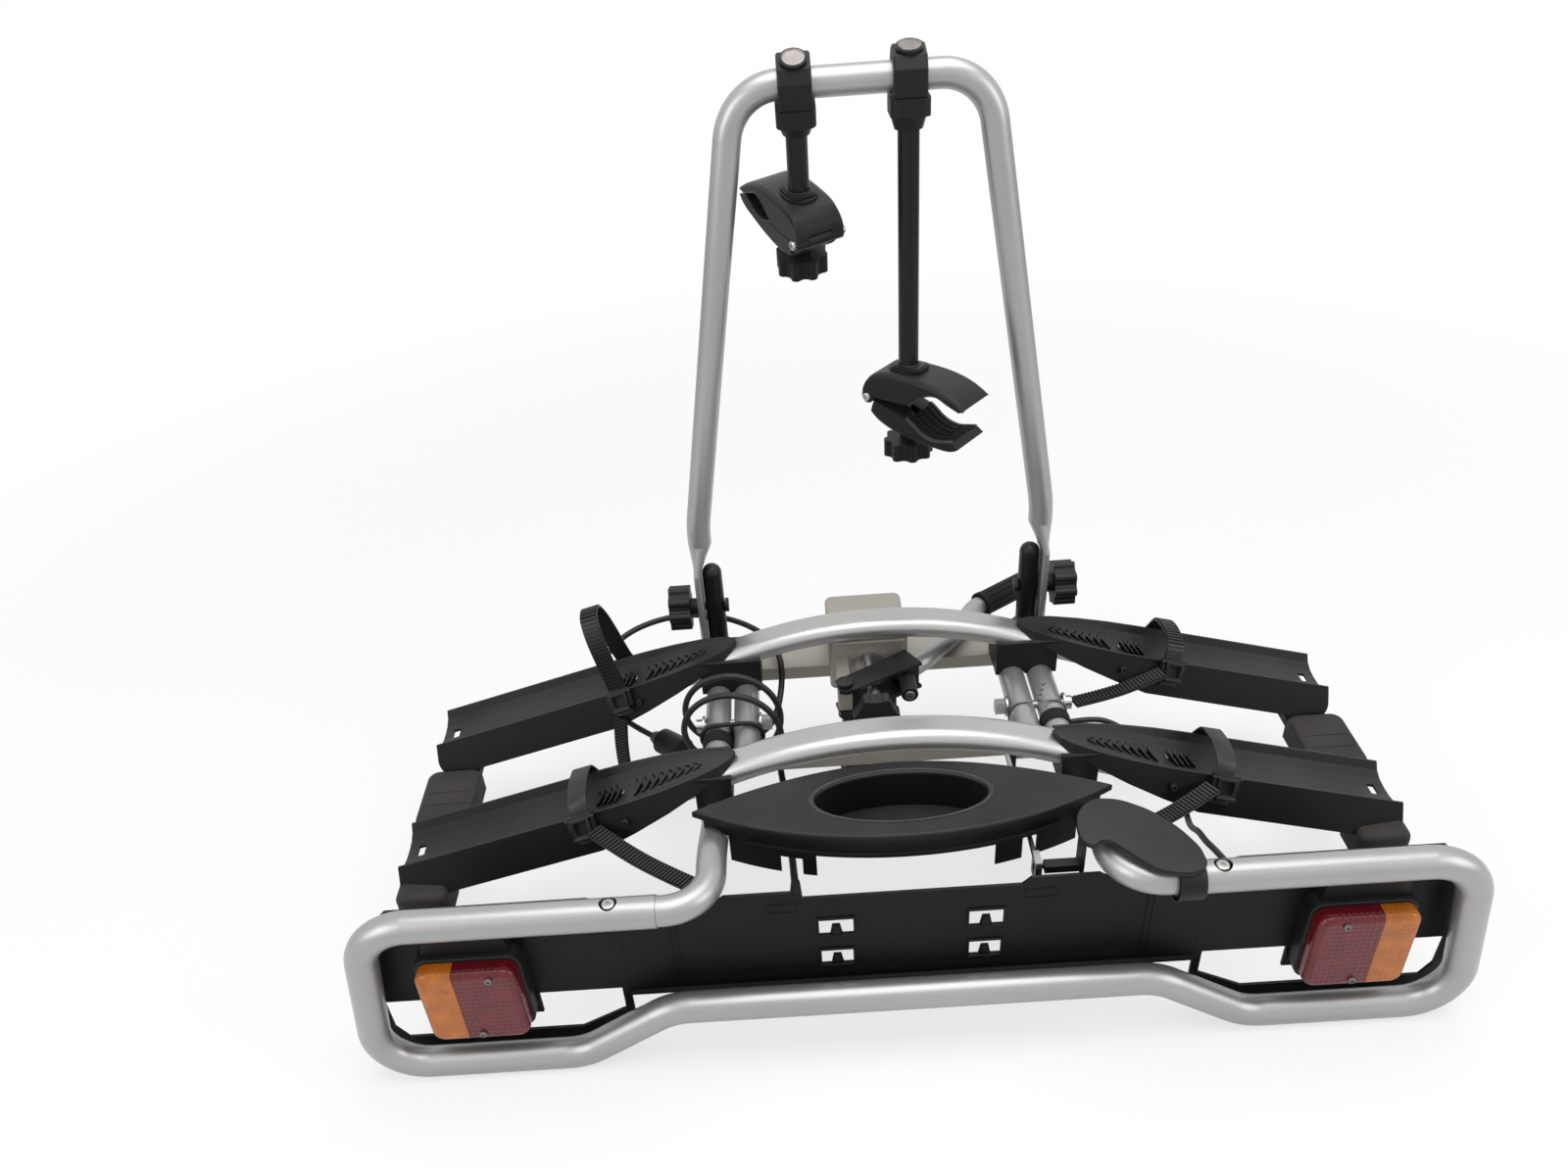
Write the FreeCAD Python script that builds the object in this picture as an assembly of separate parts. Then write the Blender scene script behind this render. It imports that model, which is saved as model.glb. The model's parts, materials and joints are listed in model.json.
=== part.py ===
import FreeCAD, Part
import math
import os

# Towball bicycle carrier for two bicycles, standing on its light bar and its coupling foot.
# Millimetres. +X is to the right seen from behind the car, +Y is towards the car, +Z is up.
# The model is laid out from the floor and the centre line of the platform,
# and moved at the end so that the origin is the centre of the towball.

# Gaps
weld_gap = 0.2          # between faces that are welded or pressed together
free_gap = 0.4          # between pieces that move past each other
run_gap = 0.05          # radial clearance of a shaft in its hole

# Light bar: one bent tube in a vertical plane
bar_d = 30.0
bar_wall = 1.8
bar_y = -291.0
bar_top_z = 204.0
bar_seam_x = 226.0
bar_top_half = 492.0
bar_low_half = 520.0
bar_ramp_outer = 318.0
bar_ramp_inner = 228.0
bar_mid_z = 72.0
bar_top_bend = 50.0
bar_low_bend = 45.0
bar_ramp_bend = 60.0
bar_screw_x = 267.0

# Side tubes of the platform
side_x = 179.0
side_z = 174.0
side_d = 28.0
side_wall = 2.0
side_bend = 42.0
side_drop_front_y = -228.0
side_drop_back_y = -150.0
side_drop_bend = 80.0
side_back_y = 162.0

# Fixed arms beside the side tubes, and the tilt pivot through both
arm_d = 28.0
arm_wall = 2.0
arm_side_gap = 3.0
arm_front_y = -62.0
arm_back_y = 126.0
pivot_y = 5.0
pivot_d = 10.0
pivot_head_d = 17.0
pivot_head_len = 11.0
pivot_washer_d = 22.0
pivot_washer_t = 2.0
collar_len = 16.0
collar_t = 1.4
collar_y = -38.0

# Cross beams between the fixed arms
beam_h = 16.0
beam_low_z = 160.0
beam_wall = 2.5
rear_beam_y0 = 100.0
rear_beam_depth = 50.0
front_beam_y0 = -60.0
front_beam_depth = 30.0

# Wheel rails: arched oval tubes across the side tubes
rail_w = 40.0
rail_h = 23.0
rail_wall = 2.0
rail_crown_z = 241.5
rail_arch_r = 450.0
rail_slope = 20.0
rail_knee_x = 262.0
rail_knee_bend = 150.0
rail_end_x = 478.0
rail_front_y = -112.0
rail_rear_y = 82.0
saddle_depth = 50.0
saddle_side = 4.0
saddle_low = 4.0
link_low_z = 86.0

# Wheel trays
tray_slope = 15.2
tray_tip_x = 156.0
tray_tip_z = 231.0
tray_end_x = 505.0
tray_half_w = 33.0
tray_flare = 18.0
tray_skirt = 34.0
tray_trough = 13.0
tray_wall = 3.0
tray_nose_len = 150.0
tray_end_r = 15.0
tray_slot_x = 490.0
tray_slot_w = 8.0
tray_slot_len = 15.0

# Lyre: the upright U-frame, its sockets and its knobs
lyre_d = 26.0
lyre_wall = 1.8
lyre_y = 150.0
lyre_top_z = 771.0
lyre_corner_x = 113.7
lyre_bend = 50.0
lyre_leg_inset = 6.0
lyre_knee_bend = 150.0
lyre_flat_t = 8.0
lyre_flat_w = 40.0
lyre_flat_top_z = 284.0
lyre_round_low_z = 318.0
lyre_foot_z = 186.0
lyre_bolt_z = 235.0
lyre_bolt_d = 8.0
post_d = 22.0
post_wall = 2.0
post_top_z = 290.0
knob_r = 26.0
knob_len = 24.0
knob_stem_r = 10.0
knob_stem_len = 8.0

# Bicycle arms
short_arm_x = -58.0
long_arm_x = 43.0
short_claw_z = 641.5
short_arm_lean = 13.0
long_claw_z = 475.0
arm_tube_d = 20.0
arm_tube_wall = 1.8
head_w = 30.0
head_collar_w = 36.0
head_drop = 30.0
head_taper = 13.0
disc_r = 11.0
disc_lift = 73.8
claw_w = 50.0
claw_hinge_x = -33.6
claw_pin_d = 6.0
claw_barrel_r = 7.0
claw_neck_z = 27.0
short_claw_turn = 116.0
long_claw_turn = -39.5
long_jaw_open = 18.0
claw_knob_r = 26.0
claw_knob_len = 18.0
claw_hub_len = 8.0
claw_bolt_d = 8.0
claw_knob_drop = 16.5
claw_stud_low = -44.0

# Coupling
coupling_x = -9.0
ball_d = 50.0
ball_y = 128.0
ball_z = 50.0
housing_w = 88.0
housing_y0 = 80.0
housing_len = 98.0
housing_low_z = 157.0
housing_top_z = 220.0
housing_wall = 4.0
rod_z = 190.0
rod_d = 10.0
lever_pin_x = -40.0
lever_pin_y = 18.0
lever_pin_r = 5.0
jaw_arm_y = rear_beam_y0 + rear_beam_depth + 1
jaw_arm_t = 12.0
rod_nut_t = 4.0
rod_nut_r = 9.0
clevis_gap = 13.0        # from the rod's level to either plate of the clevis
clevis_t = 4.0
lever_tube_r = 11.0
lever_tube_wall = 1.8
grip_r = 15.0
lever_bends = [45.0, 90.0, 30.0]
lock_x = 30.0
lock_back_y = 50.0
lock_r = 9.0
grip_corner = (124.0, 176.0)
grip_end = (190.0, 223.0)

# Number plate board and lamps
board_y = -268.0
board_t = 3.0
board_half = 268.0
board_top_z = 192.0
board_dip = 8.0
board_dip_half = 100.0
board_low_z = 71.0
board_notch = 3.0       # room round the side tubes where they pass the board
lamp_x0 = 362.0
lamp_w = 93.0
lamp_z0 = 56.0
lamp_h = 93.0
lamp_corner = 12.0
lens_depth = 16.0
lamp_case_y = board_y - 18.0
case_rim = 3.0

# Centre cover
cover_half = 197.0
cover_tip_y = -184.0
cover_back_y = -131.0
cover_front_y = -236.0
cover_top_z = 223.0
cover_t = 3.0
cover_plate_t = 8.0
cover_recess = 15.0
curtain_low_z = 168.0
pocket_a = 84.0
pocket_b = 35.0
pocket_y = -181.0
pocket_depth = 45.0

X = FreeCAD.Vector(1, 0, 0)
Y = FreeCAD.Vector(0, 1, 0)
Z = FreeCAD.Vector(0, 0, 1)


def vec(x, y, z):
    return FreeCAD.Vector(x, y, z)


def block(x0, x1, y0, y1, z0, z1):
    return Part.makeBox(x1 - x0, y1 - y0, z1 - z0, vec(x0, y0, z0))


def rod(start, axis, radius, length):
    return Part.makeCylinder(radius, length, start, axis)


def mirror_x(shape):
    return shape.mirror(vec(0, 0, 0), X)


def fuse(shapes):
    whole = shapes[0].fuse(shapes[1:]) if len(shapes) > 1 else shapes[0]
    return whole.removeSplitter()


def bent_path(points, bends):
    """Straight runs joined by tangent arcs, one bend radius for each inner point."""
    edges = []
    start = points[0]
    for corner, after, radius in zip(points[1:-1], points[2:], bends):
        u = (corner - start).normalize()
        w = (after - corner).normalize()
        turn = u.getAngle(w)
        reach = radius * math.tan(turn / 2)
        enter = corner - u * reach
        leave = corner + w * reach
        inward = (w - u).normalize()
        centre_dist = radius / math.cos(turn / 2)
        mid = corner + inward * (centre_dist - radius)
        if (enter - start).Length > 1e-6:
            edges.append(Part.LineSegment(start, enter).toShape())
        edges.append(Part.Arc(enter, mid, leave).toShape())
        start = leave
    edges.append(Part.LineSegment(start, points[-1]).toShape())
    return Part.Wire(edges)


def swept_disc(points, bends, radius):
    path = bent_path(points, bends)
    ring = Part.Wire(Part.makeCircle(radius, points[0], points[1] - points[0]))
    return path.makePipe(Part.Face(ring))


def bent_tube(points, bends, outer_r, wall):
    solid = swept_disc(points, bends, outer_r)
    return solid.cut(swept_disc(points, bends, outer_r - wall))


def stadium_face(centre, across, up, width, height):
    """A flattened oval: two straight sides and two half circles."""
    r = height / 2
    half = width / 2 - r
    a = centre + across * half + up * r
    b = centre - across * half + up * r
    c = centre - across * half - up * r
    d = centre + across * half - up * r
    edges = [
        Part.LineSegment(a, b).toShape(),
        Part.Arc(b, centre - across * (half + r), c).toShape(),
        Part.LineSegment(c, d).toShape(),
        Part.Arc(d, centre + across * (half + r), a).toShape(),
    ]
    return Part.Face(Part.Wire(edges))


def prism(points, direction):
    """Extrude a closed polygon of vectors."""
    wire = Part.makePolygon(points + [points[0]])
    return Part.Face(wire).extrude(direction)


def turned(shape, centre, axis, degrees):
    copy = shape.copy()
    copy.rotate(centre, axis, degrees)
    return copy


# Derived places
arm_x = side_x - side_d / 2 - arm_side_gap - arm_d / 2
foot_x = side_x + post_d / 2 + free_gap + lyre_flat_t / 2


def light_bar():
    half = [
        vec(bar_seam_x, bar_y, bar_top_z),
        vec(bar_top_half, bar_y, bar_top_z),
        vec(bar_low_half, bar_y, bar_d / 2),
        vec(bar_ramp_outer, bar_y, bar_d / 2),
        vec(bar_ramp_inner, bar_y, bar_mid_z),
    ]
    left = [vec(-p.x, p.y, p.z) for p in reversed(half)]
    bends = [bar_top_bend, bar_low_bend, bar_ramp_bend, bar_ramp_bend]
    tube = bent_tube(half + left, bends + bends[::-1], bar_d / 2, bar_wall)
    for side in (-1, 1):
        hole = rod(vec(side * bar_screw_x, bar_y, bar_top_z), Z, 8.0, bar_d)
        tube = tube.cut(hole)
    return tube


def side_points():
    return [
        vec(bar_seam_x - weld_gap, bar_y, bar_top_z),
        vec(side_x, bar_y, bar_top_z),
        vec(side_x, side_drop_front_y, bar_top_z),
        vec(side_x, side_drop_back_y, side_z),
        vec(side_x, side_back_y, side_z),
    ]


def side_tube_envelope(extra):
    return swept_disc(side_points(), [side_bend, side_drop_bend, side_drop_bend], side_d / 2 + extra)


def side_tube():
    bends = [side_bend, side_drop_bend, side_drop_bend]
    tube = bent_tube(side_points(), bends, side_d / 2, side_wall)
    bore = rod(vec(side_x - side_d, pivot_y, side_z), X, pivot_d / 2 + run_gap, side_d * 2)
    return tube.cut(bore)


def fixed_arm():
    start = vec(arm_x, arm_front_y, side_z)
    length = arm_back_y - arm_front_y
    tube = rod(start, Y, arm_d / 2, length).cut(rod(start, Y, arm_d / 2 - arm_wall, length))
    bore = rod(vec(arm_x - arm_d, pivot_y, side_z), X, pivot_d / 2 + run_gap, arm_d * 2)
    return tube.cut(bore)


def cross_beam(y0, depth):
    beam = block(-arm_x, arm_x, y0, y0 + depth, beam_low_z, beam_low_z + beam_h)
    inner = block(-arm_x, arm_x, y0 + beam_wall, y0 + depth - beam_wall,
                  beam_low_z + beam_wall, beam_low_z + beam_h - beam_wall)
    beam = beam.cut(inner)
    for side in (-1, 1):
        cope = rod(vec(side * arm_x, y0 - 1, side_z), Y, arm_d / 2 + weld_gap, depth + 2)
        beam = beam.cut(cope)
        trim = block(arm_x - arm_d / 4, arm_x + 1, y0 - 1, y0 + depth + 1, beam_low_z - 1, side_z)
        beam = beam.cut(trim if side > 0 else mirror_x(trim))
    return beam


def tilt_bolt():
    """Hex bolt with two washers and a dome nut, through the fixed arm and the side tube."""
    inner = arm_x - arm_d / 2 - weld_gap
    outer = side_x + side_d / 2 + free_gap
    head_x = inner - pivot_washer_t - pivot_head_len
    hexagon = [vec(head_x, pivot_y + pivot_head_d / 2 * math.cos(math.radians(60 * k)),
                   side_z + pivot_head_d / 2 * math.sin(math.radians(60 * k))) for k in range(6)]
    head = prism(hexagon, vec(pivot_head_len, 0, 0))
    shaft = rod(vec(head_x, pivot_y, side_z), X, pivot_d / 2, outer + pivot_washer_t + 6 - head_x)
    washer_in = rod(vec(inner - pivot_washer_t, pivot_y, side_z), X, pivot_washer_d / 2, pivot_washer_t)
    washer_out = rod(vec(outer, pivot_y, side_z), X, pivot_washer_d / 2, pivot_washer_t)
    nut = rod(vec(outer + pivot_washer_t, pivot_y, side_z), X, pivot_head_d / 2 - 1, 7)
    return fuse([head, shaft, washer_in, washer_out, nut])


def collar():
    """Rubber sleeve round the side tube in front of the pivot."""
    outer = rod(vec(side_x, collar_y, side_z), Y, side_d / 2 + weld_gap + collar_t, collar_len)
    inner = rod(vec(side_x, collar_y - 1, side_z), Y, side_d / 2 + weld_gap, collar_len + 2)
    return outer.cut(inner)


def rail_points(y):
    rise = math.tan(math.radians(rail_slope))
    apex = rail_crown_z + rail_arch_r * (1 / math.cos(math.radians(rail_slope)) - 1)
    knee_z = apex - rail_knee_x * rise
    end_z = knee_z - (rail_end_x - rail_knee_x) * math.tan(math.radians(tray_slope))
    return [vec(-rail_end_x, y, end_z), vec(-rail_knee_x, y, knee_z), vec(0, y, apex),
            vec(rail_knee_x, y, knee_z), vec(rail_end_x, y, end_z)]


def rail_solid(y, extra):
    points = rail_points(y)
    path = bent_path(points, [rail_knee_bend, rail_arch_r, rail_knee_bend])
    along = (points[1] - points[0]).normalize()
    up = along.cross(Y) * -1
    face = stadium_face(points[0], Y, up, rail_w + 2 * extra, rail_h + 2 * extra)
    return path.makePipe(face)


def rail(y):
    return rail_solid(y, 0).cut(rail_solid(y, -rail_wall))


def saddle(y, over_arm):
    """Moulded block that holds a rail on the side tube."""
    inner_x = arm_x - arm_d / 2 - saddle_side if over_arm else side_x - side_d / 2 - saddle_side
    outer_x = side_x + side_d / 2 + saddle_side
    body = block(inner_x, outer_x, y - saddle_depth / 2, y + saddle_depth / 2,
                 side_z + saddle_low, rail_crown_z - rail_h)
    body = body.cut(side_tube_envelope(weld_gap))
    arm_room = rod(vec(arm_x, y - saddle_depth, side_z), Y, arm_d / 2 + free_gap, 2 * saddle_depth)
    body = body.cut(arm_room)
    cutter = rail_solid(y, weld_gap)
    body = body.cut(cutter)
    above = rail_solid(y, weld_gap)
    above.translate(vec(0, 0, rail_h / 2))
    body = body.cut(above)
    higher = rail_solid(y, weld_gap)
    higher.translate(vec(0, 0, rail_h))
    body = body.cut(higher)
    body = body.cut(tray_loft(1, y, lambda t: tray_outer(t, weld_gap * 2)))
    return max(body.Solids, key=lambda s: s.Volume)


def tray_frame(point, side, y):
    """Local tray point (distance out from the tip, across, height over the rim line) in place."""
    out, across, up = point
    slope = math.radians(tray_slope)
    x = tray_tip_x + out * math.cos(slope) + up * math.sin(slope)
    z = tray_tip_z - out * math.sin(slope) + up * math.cos(slope)
    return vec(side * x, y + across, z)


def tray_length():
    return (tray_end_x - tray_tip_x) / math.cos(math.radians(tray_slope))


def nose_share(t):
    """Share of the full width at a distance t from the tip."""
    s = min(t / tray_nose_len, 1.0)
    return max(0.06, math.sqrt(1 - (1 - s) ** 2))


def tray_stations():
    steps = [0.0, 0.04, 0.12, 0.28, 0.5, 0.75, 1.0]
    return [s * tray_nose_len for s in steps] + [tray_length() + tray_skirt / 2]


def tray_loft(side, y, section):
    wires = []
    for t in tray_stations():
        points = [tray_frame((t,) + p, side, y) for p in section(t)]
        wires.append(Part.makePolygon(points + [points[0]]))
    return Part.makeLoft(wires, True, True)


def tray_depth(t):
    return 2.0 + (tray_skirt - 2.0) * min(t / tray_nose_len, 1.0) ** 0.8


def tray_outer(t, extra):
    w = tray_half_w * nose_share(t) + extra
    d = tray_depth(t)
    f = tray_flare * d / tray_skirt
    return [(-w - f, -d - extra), (-w, extra), (w, extra), (w + f, -d - extra)]


def tray_side_view(side, y):
    """Room of a tray seen from the side: upright end with a rounded lower corner."""
    slope = math.tan(math.radians(tray_slope))
    drop = tray_skirt / math.cos(math.radians(tray_slope))
    low_z = tray_tip_z - (tray_end_x - tray_tip_x) * slope - drop
    back_x = tray_tip_x - 20
    back_z = low_z + (tray_end_x - back_x) * slope
    top_z = tray_tip_z + 20
    start = vec(tray_end_x, y, top_z)
    edge = bent_path([start, vec(tray_end_x, y, low_z), vec(back_x, y, back_z)], [tray_end_r])
    close = [Part.LineSegment(vec(back_x, y, back_z), vec(back_x, y, top_z)).toShape(),
             Part.LineSegment(vec(back_x, y, top_z), start).toShape()]
    half = tray_half_w + tray_flare + 5
    room = Part.Face(Part.Wire(edge.Edges + close)).extrude(vec(0, 2 * half, 0))
    room.translate(vec(0, -half, 0))
    return room if side > 0 else mirror_x(room)


def tray(side, y):
    def inner(t):
        w = max(tray_half_w * nose_share(t) - tray_wall, 0.3)
        d = tray_depth(t)
        f = tray_flare * d / tray_skirt
        top = -min(tray_trough, d * 0.6) - tray_wall
        low = min(-d - 1, top - 0.5)
        k = tray_flare / tray_skirt
        return [(-w - f - k, low), (-w, top), (w, top), (w + f + k, low)]

    def trough(t):
        w = max(tray_half_w * nose_share(t) - 2.0, 0.2)
        deep = tray_trough * min(t / tray_nose_len + 0.04, 1.0)
        half = [(w, 1), (w, 0), (w * 0.84, -deep * 0.55), (w * 0.56, -deep * 0.88), (w * 0.2, -deep)]
        return [(-a, b) for a, b in half] + half[::-1]

    body = tray_loft(side, y, lambda t: tray_outer(t, 0.0))
    body = body.cut(tray_loft(side, y, inner))
    body = body.cut(tray_loft(side, y, trough))
    body = body.common(tray_side_view(side, y))
    body = body.cut(rail_solid(y, weld_gap))
    slot = block(tray_slot_x - tray_slot_w / 2, tray_slot_x + tray_slot_w / 2,
                 y - tray_slot_len / 2, y + tray_slot_len / 2, 0, tray_tip_z)
    body = body.cut(slot if side > 0 else mirror_x(slot))
    return max(body.Solids, key=lambda s: s.Volume)


def tray_link():
    """Cast link that carries the outer ends of the front and rear trays on one side."""
    x0 = rail_end_x - 23
    x1 = rail_end_x + 34
    y0 = rail_front_y + tray_half_w + tray_flare + 3
    y1 = rail_rear_y - tray_half_w - tray_flare - 3
    body = block(x0, x1, y0, y1, link_low_z, link_low_z + 27)
    rims = [e for e in body.Edges if e.BoundBox.ZMin > link_low_z + 20]
    body = body.makeFillet(8, rims)
    body = body.cut(block(x0 + 4, x1 - 4, y0 + 4, y1 - 4, link_low_z - 1, link_low_z + 22))
    bar_x0 = x0 + 9
    bar_x1 = rail_end_x - 1
    pad_half = 12
    bar = block(bar_x0, bar_x1, rail_front_y - pad_half, rail_rear_y + pad_half, link_low_z, link_low_z + 10)
    pads = [block(bar_x0, bar_x1, y - pad_half, y + pad_half, link_low_z + 4, link_low_z + 30)
            for y in (rail_front_y, rail_rear_y)]
    board_back = board_y + board_t + weld_gap
    arm = block(bar_x0, bar_x0 + 10, board_back, rail_front_y, board_low_z + 11, board_low_z + 23)
    link = fuse([body, bar, arm] + pads)
    for y in (rail_front_y, rail_rear_y):
        link = link.cut(rail_solid(y, weld_gap))
        raised = rail_solid(y, weld_gap)
        raised.translate(vec(0, 0, rail_h / 2))
        link = link.cut(raised)
    return max(link.Solids, key=lambda s: s.Volume)


def lobed_knob(radius, lobes, length):
    """Lobed knob body with its axis along +Z, from Z 0 upwards."""
    body = Part.makeCylinder(radius * 0.86, length)
    step = 360.0 / lobes
    for k in range(lobes):
        a = math.radians(k * step)
        lobe = Part.makeCylinder(radius * 0.2, length)
        lobe.translate(vec(radius * 0.8 * math.cos(a), radius * 0.8 * math.sin(a), 0))
        body = body.fuse(lobe)
        b = math.radians((k + 0.5) * step)
        notch = Part.makeCylinder(radius * 0.16, length + 2)
        notch.translate(vec(radius * 0.98 * math.cos(b), radius * 0.98 * math.sin(b), -1))
        body = body.cut(notch)
    return body.removeSplitter()


def lyre_points():
    leg_x = foot_x - lyre_leg_inset
    foot = vec(leg_x, lyre_y, lyre_round_low_z)
    knee = vec(leg_x, lyre_y, lyre_round_low_z + 0.13 * lyre_knee_bend)
    corner = vec(lyre_corner_x, lyre_y, lyre_top_z)
    return [foot, knee, corner] + [vec(-p.x, p.y, p.z) for p in (corner, knee, foot)]


def lyre_frame():
    bends = [lyre_knee_bend, lyre_bend, lyre_bend, lyre_knee_bend]
    tube = bent_tube(lyre_points(), bends, lyre_d / 2, lyre_wall)
    leg_foot = lyre_points()[0]
    round_end = Part.Wire(Part.makeCircle(lyre_d / 2, leg_foot, Z))
    flat_end = stadium_face(vec(foot_x, lyre_y, lyre_flat_top_z), Y, X, lyre_flat_w, lyre_flat_t).OuterWire
    neck = Part.makeLoft([round_end, flat_end], True, False)
    flat = stadium_face(vec(foot_x, lyre_y, lyre_foot_z), Y, X, lyre_flat_w, lyre_flat_t)
    flat = flat.extrude(vec(0, 0, lyre_flat_top_z - lyre_foot_z))
    toe_z = lyre_foot_z + lyre_flat_w / 2
    toe = rod(vec(foot_x - lyre_flat_t, lyre_y, toe_z), X, lyre_flat_w / 2, 2 * lyre_flat_t)
    keep = block(foot_x - lyre_d, foot_x + lyre_d, lyre_y - lyre_d, lyre_y + lyre_d, toe_z, lyre_flat_top_z)
    flat = flat.common(toe.fuse(keep))
    bore = rod(vec(foot_x - lyre_d, lyre_y, lyre_bolt_z), X, lyre_bolt_d / 2 + run_gap, 2 * lyre_d)
    leg = neck.fuse(flat).cut(bore)
    return fuse([tube, leg, mirror_x(leg)])


def post():
    """Upright stub on the side tube, with a rounded top."""
    solid = rod(vec(side_x, lyre_y, side_z), Z, post_d / 2, post_top_z - post_d / 2 - side_z)
    top = Part.makeSphere(post_d / 2, vec(side_x, lyre_y, post_top_z - post_d / 2))
    solid = solid.fuse(top)
    solid = solid.cut(rod(vec(side_x, lyre_y - post_d, side_z), Y, side_d / 2 + weld_gap, 2 * post_d))
    hollow = rod(vec(side_x, lyre_y, side_z), Z, post_d / 2 - post_wall, lyre_bolt_z - side_z + 35)
    solid = solid.cut(hollow)
    bore = rod(vec(side_x - post_d, lyre_y, lyre_bolt_z), X, lyre_bolt_d / 2 + run_gap, 2 * post_d)
    return max(solid.cut(bore).Solids, key=lambda s: s.Volume)


def lyre_knob():
    """Lobed knob with its bolt through the post and the flattened leg end."""
    face_x = foot_x + lyre_flat_t / 2 + free_gap
    head_x = side_x - post_d / 2 - free_gap
    body = lobed_knob(knob_r, 8, knob_len)
    body.rotate(vec(0, 0, 0), Y, 90)
    body.translate(vec(face_x + knob_stem_len, lyre_y, lyre_bolt_z))
    stem = rod(vec(face_x, lyre_y, lyre_bolt_z), X, knob_stem_r, knob_stem_len)
    bolt = rod(vec(head_x - 4, lyre_y, lyre_bolt_z), X, lyre_bolt_d / 2, face_x + knob_stem_len + 4 - head_x)
    head = rod(vec(head_x - 4, lyre_y, lyre_bolt_z), X, lyre_bolt_d, 4)
    return fuse([body, stem, bolt, head])


def smooth_edge(points):
    """One smooth curve through the points."""
    spline = Part.BSplineCurve()
    spline.interpolate(points)
    return spline.toShape()


head_profile = [(18, -14), (20, 8), (12, 22), (4, 25), (-16, 19), (-23, 8), (-23, -16)]


def arm_head(x):
    """Moulded clamp head on the top tube of the lyre, with a domed disc on its sloping face."""
    points = [vec(x - head_w / 2, lyre_y + y, lyre_top_z + z) for y, z in head_profile]
    top = prism(points, vec(head_w, 0, 0))
    top = top.makeFillet(2.5, top.Edges)
    half = head_collar_w / 2
    band = block(x - half, x + half, lyre_y - 24, lyre_y + 19, lyre_top_z - head_drop, lyre_top_z - 15)
    upright = [e for e in band.Edges if e.BoundBox.ZLength > 10]
    band = band.makeFillet(8, upright)
    low = lyre_top_z - head_drop - head_taper
    taper = Part.makeCone(arm_tube_d / 2 + 3, half - 1, head_taper, vec(x, lyre_y, low))
    lift = math.radians(disc_lift)
    out = vec(0, -math.cos(lift), math.sin(lift))
    foot = vec(x, lyre_y - 6, lyre_top_z + 19)
    dome_r = 24.0
    dome = Part.makeSphere(dome_r, foot + out * (6.5 - dome_r)).common(rod(foot, out, disc_r, 12))
    head = top.fuse([band, taper, dome])
    head = head.cut(rod(vec(x - head_w, lyre_y, lyre_top_z), X, lyre_d / 2 + run_gap, 2 * head_w))
    socket_len = head_drop + head_taper - lyre_d / 2 - 4
    socket = rod(vec(x, lyre_y, low - 1), Z, arm_tube_d / 2 + weld_gap, socket_len)
    head = head.cut(socket)
    return max(head.Solids, key=lambda s: s.Volume)


def arm_tube(x, claw_z):
    top = lyre_top_z - lyre_d / 2 - 6
    low = claw_z + claw_neck_z - 6
    outer = rod(vec(x, lyre_y, low), Z, arm_tube_d / 2, top - low)
    return outer.cut(rod(vec(x, lyre_y, low), Z, arm_tube_d / 2 - arm_tube_wall, top - low))


# Claws are drawn with the arm axis at X 0 and Y 0 and the hinge at Z 0, mouth towards +X
claw_back = [(-40, 6), (-38, 14), (-30, 23), (-4, 28), (28, 27), (60, 20), (80, 8)]
claw_arch = [(76, 6), (60, 12), (48, 17), (34, 14.5), (22, 6), (14, 0)]
jaw_cradle = [(13, -1), (21, -3), (30, -6.5), (41, -8.5), (54, -6.5), (64, -1), (72, 3.5)]
jaw_back = [(80, 1), (72, -7), (56, -13), (38, -18), (14, -21.6), (0, -22.2), (-14, -20.6), (-28, -14)]
claw_rim = [(0.0, 4.5), (1.5, 1.6), (5.0, 0.0)]


def drawn_in(points, y, inset):
    """Back curve of a claw near its end, drawn in by up to this much to round the long edge."""
    placed = []
    for x, z in points:
        share = max(0.0, min(1.0, (abs(z) - 2.0) / 20.0))
        placed.append(vec(x, y, z - math.copysign(inset * share, z)))
    return placed


def claw_loft(back, front, corners):
    """Claw form with rounded long edges: a back curve, a front curve and corners between them."""
    half = claw_w / 2
    rows = [(-half + d, i) for d, i in claw_rim] + [(half - d, i) for d, i in reversed(claw_rim)]
    wires = []
    for y, inset in rows:
        curve = drawn_in(back, y, inset)
        inner = [vec(x, y, z) for x, z in front]
        straight = [inner[-1]] + [vec(x, y, z) for x, z in corners] + [curve[0]]
        edges = [smooth_edge(curve), Part.LineSegment(curve[-1], inner[0]).toShape(), smooth_edge(inner)]
        edges += [Part.LineSegment(p, q).toShape() for p, q in zip(straight, straight[1:])]
        wires.append(Part.Wire(edges))
    return Part.makeLoft(wires, True, True)


def claw_body():
    jaw = claw_loft(claw_back, claw_arch, [(claw_back[0][0], 0)])
    neck = stadium_face(vec(0, 0, claw_neck_z - 3), X, Y, 40, 32).extrude(vec(0, 0, 6))
    stud = rod(vec(0, 0, claw_stud_low), Z, claw_bolt_d / 2, 8 - claw_stud_low)
    half = claw_w / 4 + free_gap
    slot = rod(vec(claw_hinge_x, -half, 0), Y, claw_barrel_r + free_gap, 2 * half)
    ear = rod(vec(claw_hinge_x, -claw_w / 2, 0), Y, claw_barrel_r, claw_w)
    pin = rod(vec(claw_hinge_x, -claw_w / 2 - 2, 0), Y, claw_pin_d / 2, claw_w + 4)
    gap = block(claw_hinge_x - 12, claw_hinge_x + claw_barrel_r + 6, -half, half,
                -12, claw_barrel_r + free_gap)
    jaw = jaw.fuse([neck, ear]).cut(slot).cut(gap)
    jaw = jaw.cut(rod(vec(0, 0, claw_neck_z - 7), Z, arm_tube_d / 2 + run_gap, 30))
    return jaw.fuse([pin, stud]).removeSplitter()



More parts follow.
